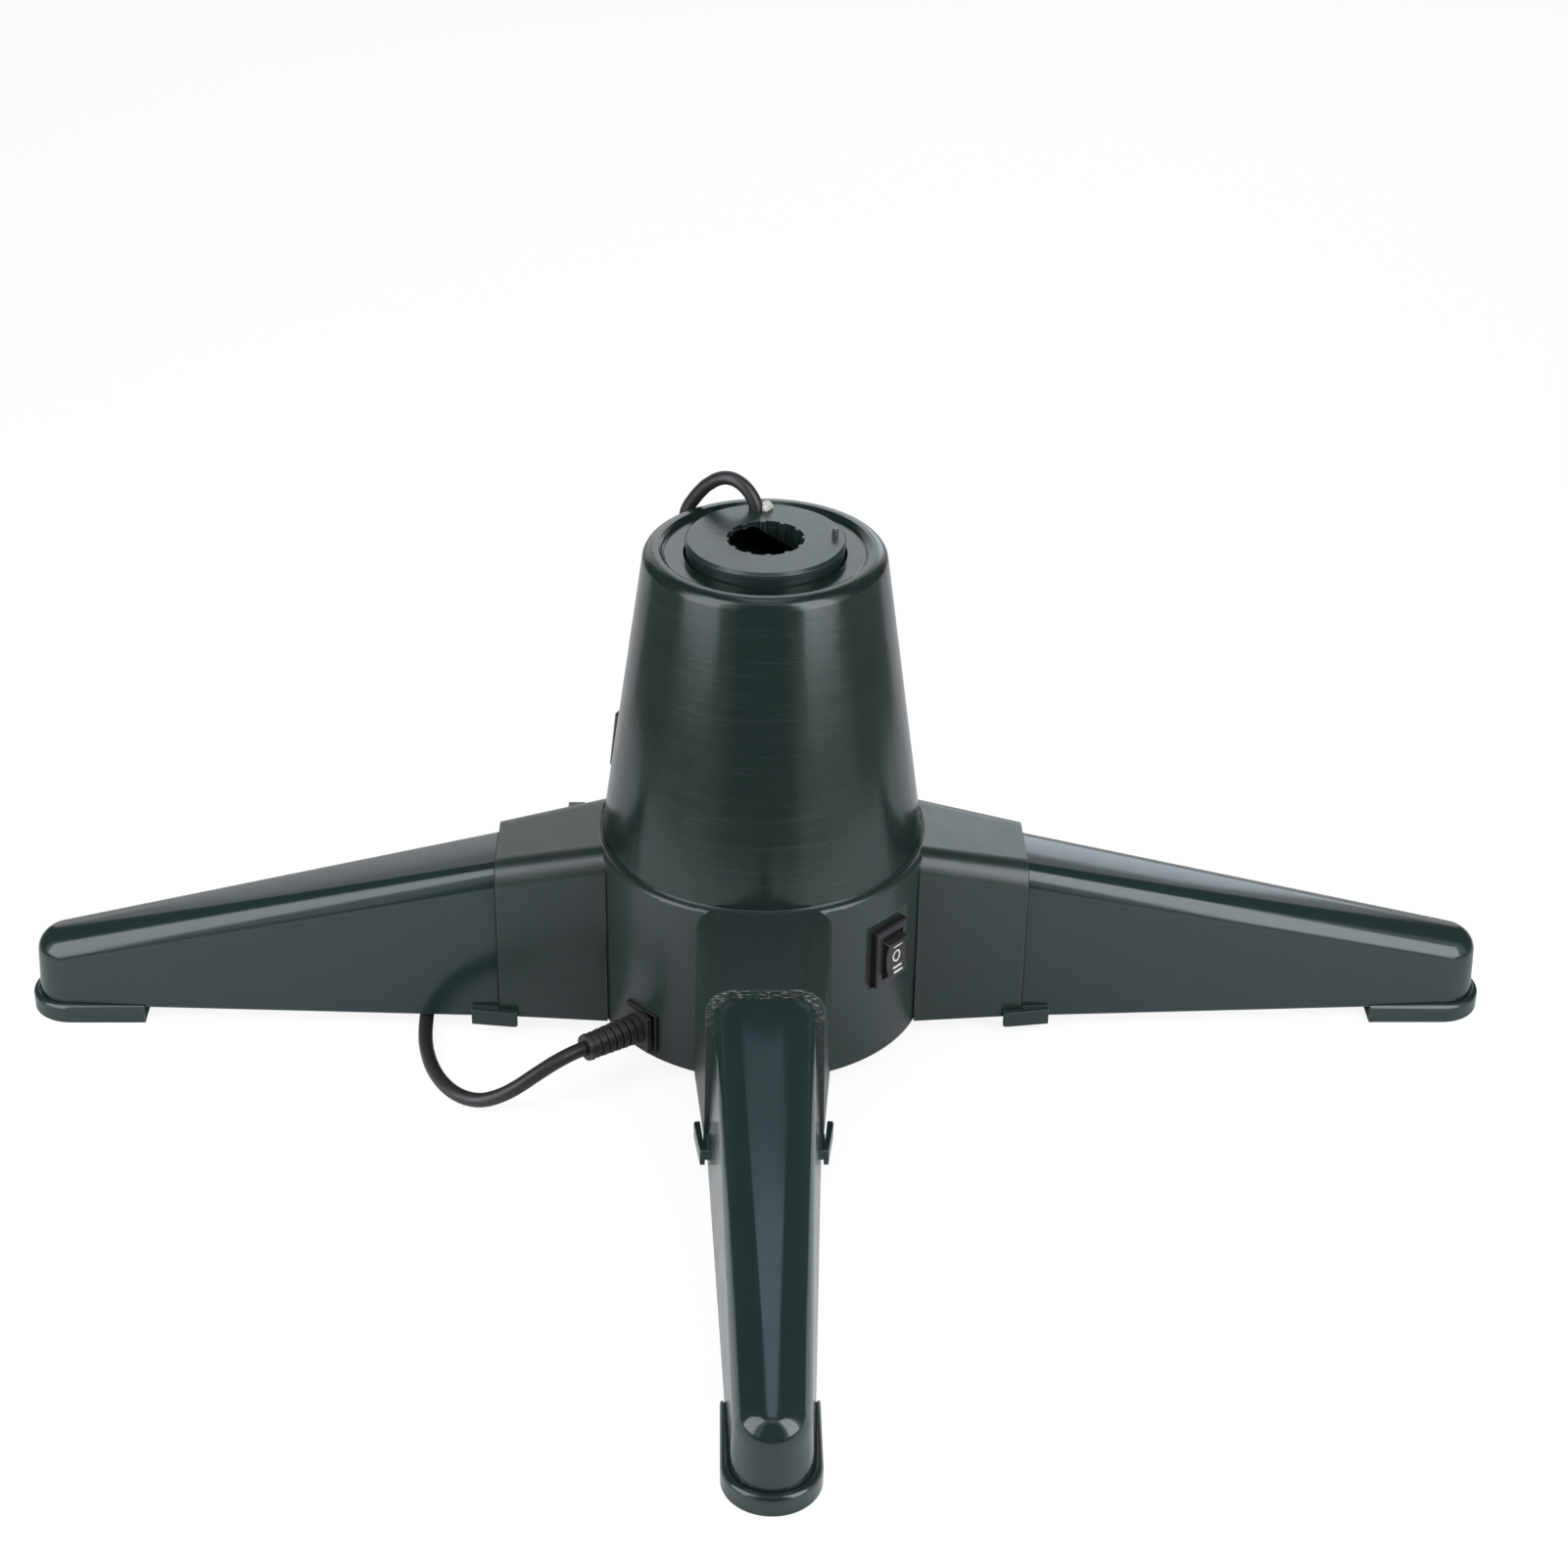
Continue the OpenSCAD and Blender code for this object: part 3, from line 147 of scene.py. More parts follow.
# The floor: matt white paper. To the camera alone it is mostly its own white, so that only a soft shadow shows
paper_white, own_white, own_share, floor_half = 0.90, 1.1, 0.80, 6
paper = bpy.data.materials.new("matt white sweep")
tree = bare_tree(paper)
rays = add(tree, "LightPath")
sheet = add(tree, "BsdfDiffuse", {"Color": (paper_white, paper_white, paper_white, 1)})
lit = add(tree, "Emission", {"Color": (1, 1, 1, 1), "Strength": own_white})
share = add(tree, "Math", {"operation": "MULTIPLY", 1: own_share}, {0: rays.outputs["Is Camera Ray"]})
mix = add(tree, "MixShader", (), {0: share, 1: sheet, 2: lit})
add(tree, "OutputMaterial", (), {"Surface": mix})
span = np.linspace(-floor_half, floor_half, 3)
x, y = np.meshgrid(span, span, indexing="ij")
floor = bpy.data.objects.new("floor", grid_mesh("floor", np.stack([x, y, np.zeros_like(x)], -1)))
scene.collection.objects.link(floor)
floor.data.materials.append(paper)


def soft_box(name, where, aim, size, glow, tint):
    """A rectangular lamp at where, facing aim, size metres wide and high. Its power is pi x its area x its glow,
    where a glow of 1 is the white of the surround."""
    wide, high = size
    lamp = bpy.data.objects.new(name, bpy.data.lights.new(name, "AREA"))
    scene.collection.objects.link(lamp)
    lamp.data.shape, lamp.data.size, lamp.data.size_y = "RECTANGLE", wide, high
    lamp.data.energy = math.pi * wide * high * glow
    lamp.data.color = tint
    turn = (Vector(aim) - Vector(where)).to_track_quat("-Z", "Y").to_matrix().to_4x4()
    lamp.matrix_world = Matrix.Translation(where) @ turn


def card(name, points, shade):
    """A sheet of paper of that shade, which shows only in reflections."""
    grey = bpy.data.materials.new(name)
    tree = bare_tree(grey)
    flat = add(tree, "Emission", {"Color": (shade, shade, shade, 1)})
    add(tree, "OutputMaterial", (), {"Surface": flat})
    board = bpy.data.objects.new(name, grid_mesh(name, points))
    scene.collection.objects.link(board)
    board.data.materials.append(grey)
    board.visible_diffuse = board.visible_shadow = board.visible_camera = board.visible_transmission = False


def bent_card(name, start, stop, radii, heights, shade):
    """A card bent round the stand: points (r sin a, -r cos a, z), a in degrees from the camera's side. Across it, r
    and z go from the first to the second of radii and heights."""
    a, k = np.meshgrid(np.radians(np.linspace(start, stop, 9)), [0, 1], indexing="ij")
    r, z = np.array(radii)[k], np.array(heights)[k]
    card(name, np.stack([r * np.sin(a), -r * np.cos(a), z], -1), shade)


# The front lamps are a little cool, and those behind cooler still, as the greys that they draw on the tops are
front_tint, rear_tint = (0.93, 0.985, 1.03), (0.83, 0.975, 1.09)
soft_box("left soft box", (-0.46, -0.29, 0.48), (0, 0, 0.40), (0.38, 0.92), 3.9, front_tint)
soft_box("right soft box", (0.41, -0.38, 0.48), (0, 0, 0.40), (0.34, 0.92), 5.0, front_tint)
soft_box("rear left box", (-0.53, 1.37, 0.62), (-0.53, 0, 0.62), (0.56, 0.56), 0.42, rear_tint)
soft_box("rear middle box", (0, 1.37, 0.65), (0, 0, 0.65), (0.50, 0.62), 1.12, rear_tint)
soft_box("rear right box", (0.53, 1.37, 0.62), (0.53, 0, 0.62), (0.56, 0.56), 2.1, rear_tint)
soft_box("ceiling strip", (0, 0.14, 1.2), (0, 0.14, 0), (0.34, 0.62), 1.5, rear_tint)
soft_box("far ceiling strip", (0, 0.70, 1.2), (0, 0.70, 0), (0.34, 0.46), 0.6, rear_tint)

# Three cards stand on the floor, one hangs above the strips, and five lie in a fan round the stand
standing, lying, near, wide, fan = (0.001, 1.1), (0.002, 0.002), (0.62, 0.62), (0.90, 0.90), (0.32, 0.62)
bent_card("front card", -26, 24, near, standing, 0.12)
bent_card("left card", -140, -84, wide, standing, 0.10)
bent_card("right card", 80, 140, wide, standing, 0.10)
x, y = np.meshgrid([-1.0, 1.0], [-0.35, 1.15], indexing="ij")
card("ceiling card", np.stack([x, y, np.full_like(x, 1.21)], -1), 0.10)
bent_card("far left floor card", -125, -80, fan, lying, 0.20)
bent_card("left floor card", -80, -30, fan, lying, 0.36)
bent_card("front floor card", -30, 24, fan, lying, 0.12)
bent_card("right floor card", 24, 72, fan, lying, 0.65)
bent_card("far right floor card", 72, 125, fan, lying, 0.25)

# ---------------------------------------------------------------------------------------------------------------
# Mains lead
# A round black vinyl lead, 4.8 mm thick. It leaves the ribbed boot, droops to the floor, passes under the left leg
# and is wound into a neat coil behind it, four layers deep, with the plug lying beside the coil.

lead_d = 4.8
boot_end = np.array([-57.822, -52.127, 16.5])
boot_way = np.array([math.cos(math.radians(-145)), math.sin(math.radians(-145)), 0])
lead_route = np.array([
    [-65.6, -57.1, 15.6], [-70.1, -59.4, 13.9], [-74.8, -61.5, 11.6], [-79.8, -63.2, 8.8], [-85.2, -64, 6.1],
    [-91, -63.5, 4], [-96.4, -60.9, 2.9], [-101.2, -56.8, 2.6], [-105.2, -51.2, 2.6], [-108.4, -44.4, 2.6],
    [-110.8, -36.4, 2.6], [-112.4, -27, 2.6], [-113, -16, 2.6], [-113, -5, 2.6], [-112.8, 5.4, 2.6],
    [-111.2, 14, 2.6], [-107.2, 21.6, 2.6], [-100.8, 27.2, 2.7], [-92.6, 29.8, 2.9], [-84, 29.95, 3.2],
    [-77, 29.875, 3.4]])
# The coil starts at -Y on its outside. A layer has 1.6875 turns, 6 mm apart, and a half turn climbs to the next one
coil_x, coil_y, coil_z, coil_in, coil_step, coil_rise = -66, 60, 3.4, 20, 6, 5.3
coil_start, coil_layers, coil_turns, climb_turns = 270, 4, 1.6875, 0.5
coil_width = coil_step * coil_turns
coil_out = coil_in + coil_width
lead_tail = np.array([
    [-35.875, 69.6, 19.3], [-35.8, 74.6, 18.8], [-35.7, 79.5, 17.4], [-35.6, 84.3, 15.2], [-35.5, 89, 12.5],
    [-35.5, 93.6, 9.9], [-35.5, 98, 8], [-35.5, 102, 7], [-35.5, 105, 6.8], [-35.5, 108, 6.8]])
points_per_span, points_per_turn, lead_sides = 3, 48, 20


def coil_points(per_turn):
    """The coil: angle 270 + 360 u after u turns. In each layer the radius runs evenly out to in, or in to out, and
    in the half turn between layers the height rises by coil_rise at constant radius."""
    layer = coil_turns + climb_turns
    total = coil_layers * layer - climb_turns
    u = np.linspace(0, total, round(total * per_turn) + 1)
    k = np.minimum(u // layer, coil_layers - 1)
    across = np.minimum((u - k * layer) / coil_turns, 1)
    climb = np.clip((u - k * layer - coil_turns) / climb_turns, 0, 1)
    radius = np.where(k % 2 == 0, coil_out - coil_width * across, coil_in + coil_width * across)
    angle = np.radians(coil_start + 360 * u)
    return np.stack([coil_x + radius * np.cos(angle), coil_y + radius * np.sin(angle),
                     coil_z + coil_rise * (k + climb)], 1)


def eased(points, n):
    """Points on a smooth curve through the given ones, n to a span. Between b and c, with neighbours a and d:
    b + t/2 ((c - a) + t ((2a - 5b + 4c - d) + t (3 (b - c) + d - a)))."""
    p = np.vstack([points[:1], points, points[-1:]])
    a, b, c, d = (p[k:len(p) - 3 + k, None] for k in range(4))
    t = (np.arange(n) / n)[None, :, None]
    curve = b + t / 2 * ((c - a) + t * ((2 * a - 5 * b + 4 * c - d) + t * (3 * (b - c) + d - a)))
    return np.vstack([curve.reshape(-1, 3), points[-1:]])


def lead_mesh(name, path, radius, sides):
    """A round tube: ring k is path point p_k + radius (cos a n_k + sin a b_k), where n_k is carried along without
    twist and b_k = t_k x n_k. Its UV map has u round the lead and v along it, in metres."""
    tangent = np.gradient(path, axis=0)
    tangent /= np.linalg.norm(tangent, axis=1, keepdims=True)
    normal = np.empty_like(path)
    n = np.array([0.1, 0.2, 1.0])
    for k, t in enumerate(tangent):
        n = n - n @ t * t
        n /= np.linalg.norm(n)
        normal[k] = n
    side = np.cross(tangent, normal)
    a = (np.arange(sides) * 2 * np.pi / sides)[None, :, None]
    rings = path[:, None] + radius * (np.cos(a) * normal[:, None] + np.sin(a) * side[:, None])
    mesh = grid_mesh(name, rings[:, ::-1], closed_v=True, caps=True)
    along = np.r_[0, np.cumsum(np.linalg.norm(np.diff(path, axis=0), axis=1))]
    vertex = np.empty(len(mesh.loops), int)
    mesh.loops.foreach_get("vertex_index", vertex)
    uv = np.stack([vertex % sides / sides, along[vertex // sides]], 1).astype(np.float32)
    mesh.uv_layers.new(name="along").data.foreach_set("uv", uv.ravel())
    return mesh


def place(name, mesh, body, finish, replaces=()):
    """Makes the mesh a piece of the stand: on its body, in its finish, standing for the named solids of the frame."""
    piece = bpy.data.objects.new(name, mesh)
    scene.collection.objects.link(piece)
    mesh.materials.clear()
    mesh.materials.append(finish)
    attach(piece, body)
    if replaces:
        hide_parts(*replaces)
    return piece


def linear(code):
    """sRGB hex to linear light: c / 12.92 up to 0.04045, else ((c + 0.055) / 1.055) ** 2.4."""
    c = np.array([int(code[i:i + 2], 16) for i in (1, 3, 5)]) / 255
    return (*np.where(c <= 0.04045, c / 12.92, ((c + 0.055) / 1.055) ** 2.4), 1.0)


def new_finish(name):
    """A new material, its node tree and its surface shader."""
    finish = bpy.data.materials.new(name)
    finish.use_nodes = True
    return finish, finish.node_tree, finish.node_tree.nodes["Principled BSDF"]


# Flexible vinyl, extruded: satin black with a slight warm cast. Sixty draw lines round the lead, 0.25 mm apart and
# about 40 mm long, break up the highlight that runs along it. Real ones are finer, and wouldn't show.
vinyl, tree, surface = new_finish("extruded vinyl, black")
where = add(tree, "UVMap", {"uv_map": "along"})
lines = add(tree, "Mapping", {"Scale": (60, 25, 1)}, {"Vector": where})
draw = add(tree, "TexNoise", {"Scale": 1.0, "Detail": 3}, {"Vector": lines})
gloss = add(tree, "MapRange", {"To Min": 0.34, "To Max": 0.50}, {"Value": draw})
dents = add(tree, "Bump", {"Strength": 0.12, "Distance": 0.1 * MM}, {"Height": draw})
surface.inputs["Base Color"].default_value = linear("#231f22")
tree.links.new(gloss.outputs[0], surface.inputs["Roughness"])
tree.links.new(dents.outputs[0], surface.inputs["Normal"])

into_coil = [coil_x - lead_d, coil_y - coil_out, coil_z]
out_of_coil = [coil_x + coil_out, coil_y + lead_d, coil_z + coil_rise * (coil_layers - 1)]
lead_path = np.vstack([
    eased(np.vstack([boot_end, boot_end + 4 * boot_way, lead_route, into_coil]), points_per_span),
    coil_points(points_per_turn),
    eased(np.vstack([out_of_coil, lead_tail]), points_per_span)]) * MM
lead = place("mains_lead", lead_mesh("mains_lead", lead_path, lead_d / 2 * MM, lead_sides), "base",
             vinyl, ["power_cord", "power_cord_coil"])

# ---------------------------------------------------------------------------------------------------------------
# Outlet lead
# A softer lead, 4.5 mm thick, for the tree's lamps. It comes up through the disc, arches over the cone's shoulder and
# hangs down the flank behind to its socket. It turns with the disc.

outlet_d, outlet_x, outlet_y = 4.5, -2.7, 21.2
arch_way, disc_under, shoulder = math.radians(150.5), 174.0, 172.5
flank_foot_r, flank_foot_z, flank_taper = 52.9, 70.2, 0.1416
# Over the shoulder: mm along the arch, mm above the disc's underside
outlet_arch = np.array([
    [0, 2], [0.6, 4.1], [1.7, 5.9], [3.2, 7.6], [4.9, 8.9], [6.9, 9.8], [9, 10.2], [11.2, 10], [13.2, 9.3],
    [15.1, 8.2], [16.9, 6.8], [18.5, 5.4], [19.9, 3.8], [21.3, 2.1], [22.6, 0.3], [23.8, -1.5], [24.9, -3.4],
    [25.7, -5.4]])
# Down the flank: degrees round the stand, mm off the cone's side, mm below the shoulder
outlet_drop = np.array([
    [127.1, 2.9, 6.1], [128, 2.8, 9.3], [129, 2.7, 13.3], [130.2, 2.7, 18.5], [131.5, 2.7, 24.5], [132.7, 2.8, 30.5],
    [133.9, 3, 36.5], [135, 3.4, 42.5], [136.2, 3.9, 48.5], [137.3, 4.4, 54.5], [138.3, 4.9, 60.5]])
along, rise = outlet_arch.T
flank_a, off_flank, drop = outlet_drop.T
flank_a, flank_z = np.radians(flank_a), shoulder - drop
flank_r = flank_foot_r - flank_taper * (flank_z - flank_foot_z) + off_flank
outlet_route = np.vstack([
    [outlet_x, outlet_y, disc_under - 0.6],
    np.stack([outlet_x + along * math.cos(arch_way), outlet_y + along * math.sin(arch_way), disc_under + rise], 1),
    np.stack([flank_r * np.cos(flank_a), flank_r * np.sin(flank_a), flank_z], 1),
    [[-40.3, 35.0, 105.0], [-40.6, 35.3, 102.1]]])
outlet_path = eased(outlet_route, points_per_span) * MM
outlet = place("outlet_lead", lead_mesh("outlet_lead", outlet_path, outlet_d / 2 * MM, lead_sides), "rotor",
               vinyl, ["outlet_cord"])

# ---------------------------------------------------------------------------------------------------------------
# Hub and arms
# One big moulding in dark green polypropylene, a drum with four hollow arms, closed from below by a plate that is
# screwed on. It is the dullest of the green parts, and its leg has scuffed the rim of the front arm.


def dress(node, finish, edge=0.3):
    """Gives a solid of the frame its finish: a copy with its corners merged and its flat faces joined, smooth where
    faces meet at less than 32 degrees, and its sharp edges broken by a round of edge millimetres."""
    merged, sliver, flat, corner = 1e-6, 4e-6, math.radians(0.4), math.radians(32)
    source = frame["nodes"][node]
    mesh = source.data.copy()
    shape = bmesh.new()
    shape.from_mesh(mesh)
    bmesh.ops.remove_doubles(shape, verts=shape.verts, dist=merged)
    bmesh.ops.dissolve_degenerate(shape, dist=sliver, edges=shape.edges)
    bmesh.ops.dissolve_limit(shape, angle_limit=flat, verts=shape.verts, edges=shape.edges)
    shape.to_mesh(mesh)
    shape.free()
    mesh.shade_smooth()
    mesh.set_sharp_from_angle(angle=corner)
    piece = place(node + "_skin", mesh, source["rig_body"], finish, [node])
    if edge:
        rounding = piece.modifiers.new("broken edges", "BEVEL")
        rounding.width, rounding.segments, rounding.limit_method = edge * MM, 2, "ANGLE"
        rounding.angle_limit, rounding.use_clamp_overlap = corner, True
        evened = piece.modifiers.new("even shading", "WEIGHTED_NORMAL")
        evened.keep_sharp, evened.weight = True, 90
    return piece


def moulded_plastic(name, colour, shade, rough, grain, depth, wear=0.25):
    """Injection-moulded plastic: colour mottled towards shade over 20 mm, roughness clouded over 8 mm, and a grain of
    the given size and bump depth in mm. Edges are rubbed paler by wear, where the normal averaged over 0.5 mm leaves
    the true one. The real grain is about 0.1 mm wide and wouldn't show, so each finish has it some times wider."""
    mottle_mm, cloud_mm, edge_mm, skin_ior = 20, 8, 0.5, 1.49
    finish, tree, surface = new_finish(name)
    where = add(tree, "TexCoord").outputs["Object"]
    mottle = add(tree, "TexNoise", {"Scale": 1000 / mottle_mm, "Detail": 4}, {"Vector": where})
    blend = add(tree, "Mix", {"data_type": "RGBA", 6: linear(colour), 7: linear(shade)}, {0: mottle})
    clouds = add(tree, "TexNoise", {"Scale": 1000 / cloud_mm, "Detail": 1}, {"Vector": where})
    gloss = add(tree, "MapRange", {"To Min": rough - 0.04, "To Max": rough + 0.06}, {"Value": clouds})
    texture = add(tree, "TexNoise", {"Scale": 1000 / grain, "Detail": 2}, {"Vector": where})
    pits = add(tree, "Bump", {"Strength": 0.5, "Distance": depth * MM}, {"Height": texture})
    averaged = add(tree, "Bevel", {"samples": 4, "Radius": edge_mm * MM})
    true = add(tree, "NewGeometry").outputs["Normal"]
    agreed = add(tree, "VectorMath", {"operation": "DOT_PRODUCT"}, {0: averaged, 1: true}).outputs["Value"]
    rubbed = add(tree, "MapRange", {"From Min": 0.985, "From Max": 0.90, "To Max": wear}, {"Value": agreed})
    tree.links.new(blend.outputs[2], surface.inputs["Base Color"])
    tree.links.new(gloss.outputs[0], surface.inputs["Roughness"])
    tree.links.new(pits.outputs[0], surface.inputs["Normal"])
    surface.inputs["IOR"].default_value = skin_ior
    stain(finish, "#7d8584", rubbed)
    return finish


def laid_over(finish, name):
    """The shader's input of that name, and the socket that now feeds it, which the next layer goes over."""
    socket = finish.node_tree.nodes["Principled BSDF"].inputs[name]
    return socket, socket.links[0].from_socket


def stain(finish, colour, amount):
    """Mixes a flat colour over the finish, by the amount that a node gives."""
    socket, under = laid_over(finish, "Base Color")
    mixed = add(finish.node_tree, "Mix", {"data_type": "RGBA", 7: linear(colour)}, {0: amount, 6: under})
    finish.node_tree.links.new(mixed.outputs[2], socket)


def scuff(finish, edge_y):
    """Pale curly scratches about 2 mm long and 0.5 mm high, where y is under edge_y millimetres. They are full above
    z = 57 mm and fade to an eighth below 46 mm."""
    tree = finish.node_tree
    where = add(tree, "TexCoord").outputs["Object"]
    axes = add(tree, "SeparateXYZ", (), {0: where})
    in_front = add(tree, "MapRange", {"From Min": (edge_y + 0.3) * MM, "From Max": (edge_y - 0.3) * MM},
                   {"Value": axes.outputs["Y"]})
    high_up = add(tree, "MapRange", {"From Min": 46 * MM, "From Max": 57 * MM, "To Min": 0.12},
                  {"Value": axes.outputs["Z"]})
    lying = add(tree, "Mapping", {"Scale": (420, 900, 2100)}, {"Vector": where})
    curls = add(tree, "TexNoise", {"Scale": 1.0, "Detail": 4, "Roughness": 0.75}, {"Vector": lying})
    scratches = add(tree, "MapRange", {"From Min": 0.53, "From Max": 0.64, "To Max": 0.75}, {"Value": curls})
    here = add(tree, "Math", {"operation": "MULTIPLY"}, {0: in_front, 1: high_up})
    amount = add(tree, "Math", {"operation": "MULTIPLY"}, {0: here, 1: scratches})
    stain(finish, "#a9aca8", amount)


# Polypropylene from a lightly grained mould: a dull dark green with broad, soft highlights and pale rubbed edges
hub_green = moulded_plastic("polypropylene moulding, dull green", "#1e2625", "#232c2a", 0.29, 0.6, 0.003, wear=0.3)
scuff(hub_green, -87.4)
dress("hub_housing", hub_green, edge=0.35)
dress("base_plate", hub_green)

# ---------------------------------------------------------------------------------------------------------------
# Cone cover
# A thin shell of the same plastic that snaps on over the works. It is glossier than the hub, and wiping has left
# faint level marks on its side.


def wipe(finish, strength):
    """Level marks about 125 mm long and 1.1 mm apart, which dull the finish by strength and stand up by a tenth of a
    millimetre times strength. Where they meet a second pattern, 14 mm long and 0.5 mm apart, they are paler."""
    tree = finish.node_tree
    where = add(tree, "TexCoord").outputs["Object"]
    long = add(tree, "Mapping", {"Scale": (8, 8, 900)}, {"Vector": where})
    marks = add(tree, "TexNoise", {"Scale": 1.0, "Detail": 4, "Roughness": 0.7}, {"Vector": long})
    dull = add(tree, "Math", {"operation": "MULTIPLY", 1: strength}, {0: marks})
    socket, under = laid_over(finish, "Roughness")
    tree.links.new(add(tree, "Math", {"operation": "ADD"}, {0: under, 1: dull}).outputs[0], socket)
    socket, under = laid_over(finish, "Normal")
    ridges = add(tree, "Bump", {"Strength": strength, "Distance": 0.1 * MM}, {"Height": marks, "Normal": under})
    tree.links.new(ridges.outputs[0], socket)
    short = add(tree, "Mapping", {"Scale": (70, 70, 2200)}, {"Vector": where})
    dashes = add(tree, "TexNoise", {"Scale": 1.0, "Detail": 3, "Roughness": 0.7}, {"Vector": short})
    both = add(tree, "Math", {"operation": "MULTIPLY"}, {0: dashes, 1: marks})
    pale = add(tree, "MapRange", {"From Min": 0.27, "From Max": 0.44, "To Max": 0.13}, {"Value": both})
    stain(finish, "#4c5a57", pale)


# Polypropylene from a polished mould: deep green, with clear highlights that the wiping marks draw out sideways
cover_green = moulded_plastic("polypropylene moulding, wiped green", "#121e1c", "#162320", 0.15, 0.7, 0.004)
wipe(cover_green, 0.07)
dress("cone_cover", cover_green, edge=0.7)

# ---------------------------------------------------------------------------------------------------------------
# Legs and their shoes
# Deep, open-bottomed mouldings in a bluer and shinier green, clipped over the arms' ends, with shoes of the same
# plastic pushed on under the tips. A painted shadow darkens the legs where they go into the arms.


def crown(finish, radius):
    """The slight crown on the tops of the legs, of that radius in mm: a bump of height -min(|x|, |y|)^2 / (2 radius),
    as the lesser of x and y is the distance from the leg's middle line."""
    tree = finish.node_tree
    axes = add(tree, "SeparateXYZ", (), {0: add(tree, "TexCoord").outputs["Object"]})
    squares = [add(tree, "Math", {"operation": "MULTIPLY"}, {0: axes.outputs[k], 1: axes.outputs[k]}) for k in "XY"]
    across = add(tree, "Math", {"operation": "MINIMUM"}, dict(enumerate(squares)))
    arch = add(tree, "Math", {"operation": "MULTIPLY", 1: -0.5 / (radius * MM)}, {0: across})
    socket, under = laid_over(finish, "Normal")
    rounded = add(tree, "Bump", {"Strength": 1.0, "Distance": 1.0}, {"Height": arch, "Normal": under})
    tree.links.new(rounded.outputs[0], socket)


def painted_seam_shadow(finish, seam):
    """A painted shadow: a dark, dull line beside the seam, which lies seam millimetres from the stand's axis: full
    within
    0.25 mm of seam + 0.25, none past 0.45 mm of it, and none below z = 9.5 mm. The distance from the axis is max(|x|,
    |y|)."""
    tree = finish.node_tree
    axes = add(tree, "SeparateXYZ", (), {0: add(tree, "TexCoord").outputs["Object"]})
    sizes = [add(tree, "Math", {"operation": "ABSOLUTE"}, {0: axes.outputs[k]}) for k in "XY"]
    out = add(tree, "Math", {"operation": "MAXIMUM"}, dict(enumerate(sizes)))
    past = add(tree, "Math", {"operation": "SUBTRACT", 1: (seam + 0.25) * MM}, {0: out})
    gap = add(tree, "Math", {"operation": "ABSOLUTE"}, {0: past})
    line = add(tree, "MapRange", {"From Min": 0.45 * MM, "From Max": 0.25 * MM}, {"Value": gap})
    above = add(tree, "Math", {"operation": "GREATER_THAN", 1: 9.5 * MM}, {0: axes.outputs["Z"]})
    seam_shade = add(tree, "Math", {"operation": "MULTIPLY"}, {0: line, 1: above})
    # The painted shadow: near black and fully rough along the seam
    stain(finish, "#0a0c0c", seam_shade)
    socket, under = laid_over(finish, "Roughness")
    tree.links.new(add(tree, "Math", {"operation": "MAXIMUM"}, {0: under, 1: seam_shade}).outputs[0], socket)


# Polypropylene from a highly polished mould: bluer, with sharp highlights along its rounds and dark clear sides
leg_green = moulded_plastic("polypropylene moulding, glossy blue-green", "#1a2728", "#1e2b2c", 0.12, 0.8, 0.003)
crown(leg_green, 80)
# Painted shadow along the seam where each leg goes into its arm
painted_seam_shadow(leg_green, 87.8)
for side in ("front", "right", "back", "left"):
    dress("leg_" + side, leg_green, edge=0.25)
    dress("foot_" + side, leg_green, edge=1.1)

# ---------------------------------------------------------------------------------------------------------------
# Turning disc
# Disc, splined collar and pole tube in one moulding, which turns in the cone's mouth. A steel pin is pressed into
# it, and a dab of dried sealant holds the outlet lead where it comes through.


def pin_mark(finish, spot):
    """A faint dark ring round a point in mm where an ejector pin has pushed: 4.6 mm across, full within 0.3 mm of
    that circle and none past 1 mm of it."""
    tree = finish.node_tree
    where = add(tree, "TexCoord").outputs["Object"]
    away = add(tree, "VectorMath", {"operation": "DISTANCE", 1: tuple(c * MM for c in spot)}, {0: where})
    past = add(tree, "Math", {"operation": "SUBTRACT", 1: 2.3 * MM}, {0: away.outputs["Value"]})
    gap = add(tree, "Math", {"operation": "ABSOLUTE"}, {0: past})
    ring = add(tree, "MapRange", {"From Min": 1.0 * MM, "From Max": 0.3 * MM, "To Max": 0.7}, {"Value": gap})
    stain(finish, "#101716", ring)


def metal(name, colour, rough):
    """Metal with its roughness clouded by tool marks 0.2 mm apart, about twice as coarse as the real ones."""
    finish, tree, surface = new_finish(name)
    where = add(tree, "TexCoord").outputs["Object"]
    tooling = add(tree, "TexNoise", {"Scale": 1000 / 0.2, "Detail": 2}, {"Vector": where})
    gloss = add(tree, "MapRange", {"To Min": rough - 0.05, "To Max": rough + 0.08}, {"Value": tooling})
    surface.inputs["Base Color"].default_value = linear(colour)
    surface.inputs["Metallic"].default_value = 1.0
    tree.links.new(gloss.outputs[0], surface.inputs["Roughness"])
    return finish


def blob_mesh(name, centre, size, lumps):
    """A torn blob: a ball stretched to size, its radius multiplied by 1 + the sum over the lumps (n, m, phase, height)
    of height sin(n a + phase) cos(m e), where a is the angle round it and e the height angle."""
    a, e = np.meshgrid(np.linspace(0, 2 * np.pi, 49)[:-1], np.linspace(-np.pi / 2, np.pi / 2, 25)[1:-1], indexing="ij")
    swell = 1 + sum(h * np.sin(n * a + p) * np.cos(m * e) for n, m, p, h in lumps)
    ball = np.stack([np.cos(a) * np.cos(e), np.sin(a) * np.cos(e), np.sin(e)], -1) * swell[..., None]
    points = (ball * np.array(size) + np.array(centre)) * MM
    return grid_mesh(name, np.swapaxes(points, 0, 1)[:, ::-1], closed_v=True, caps=True)


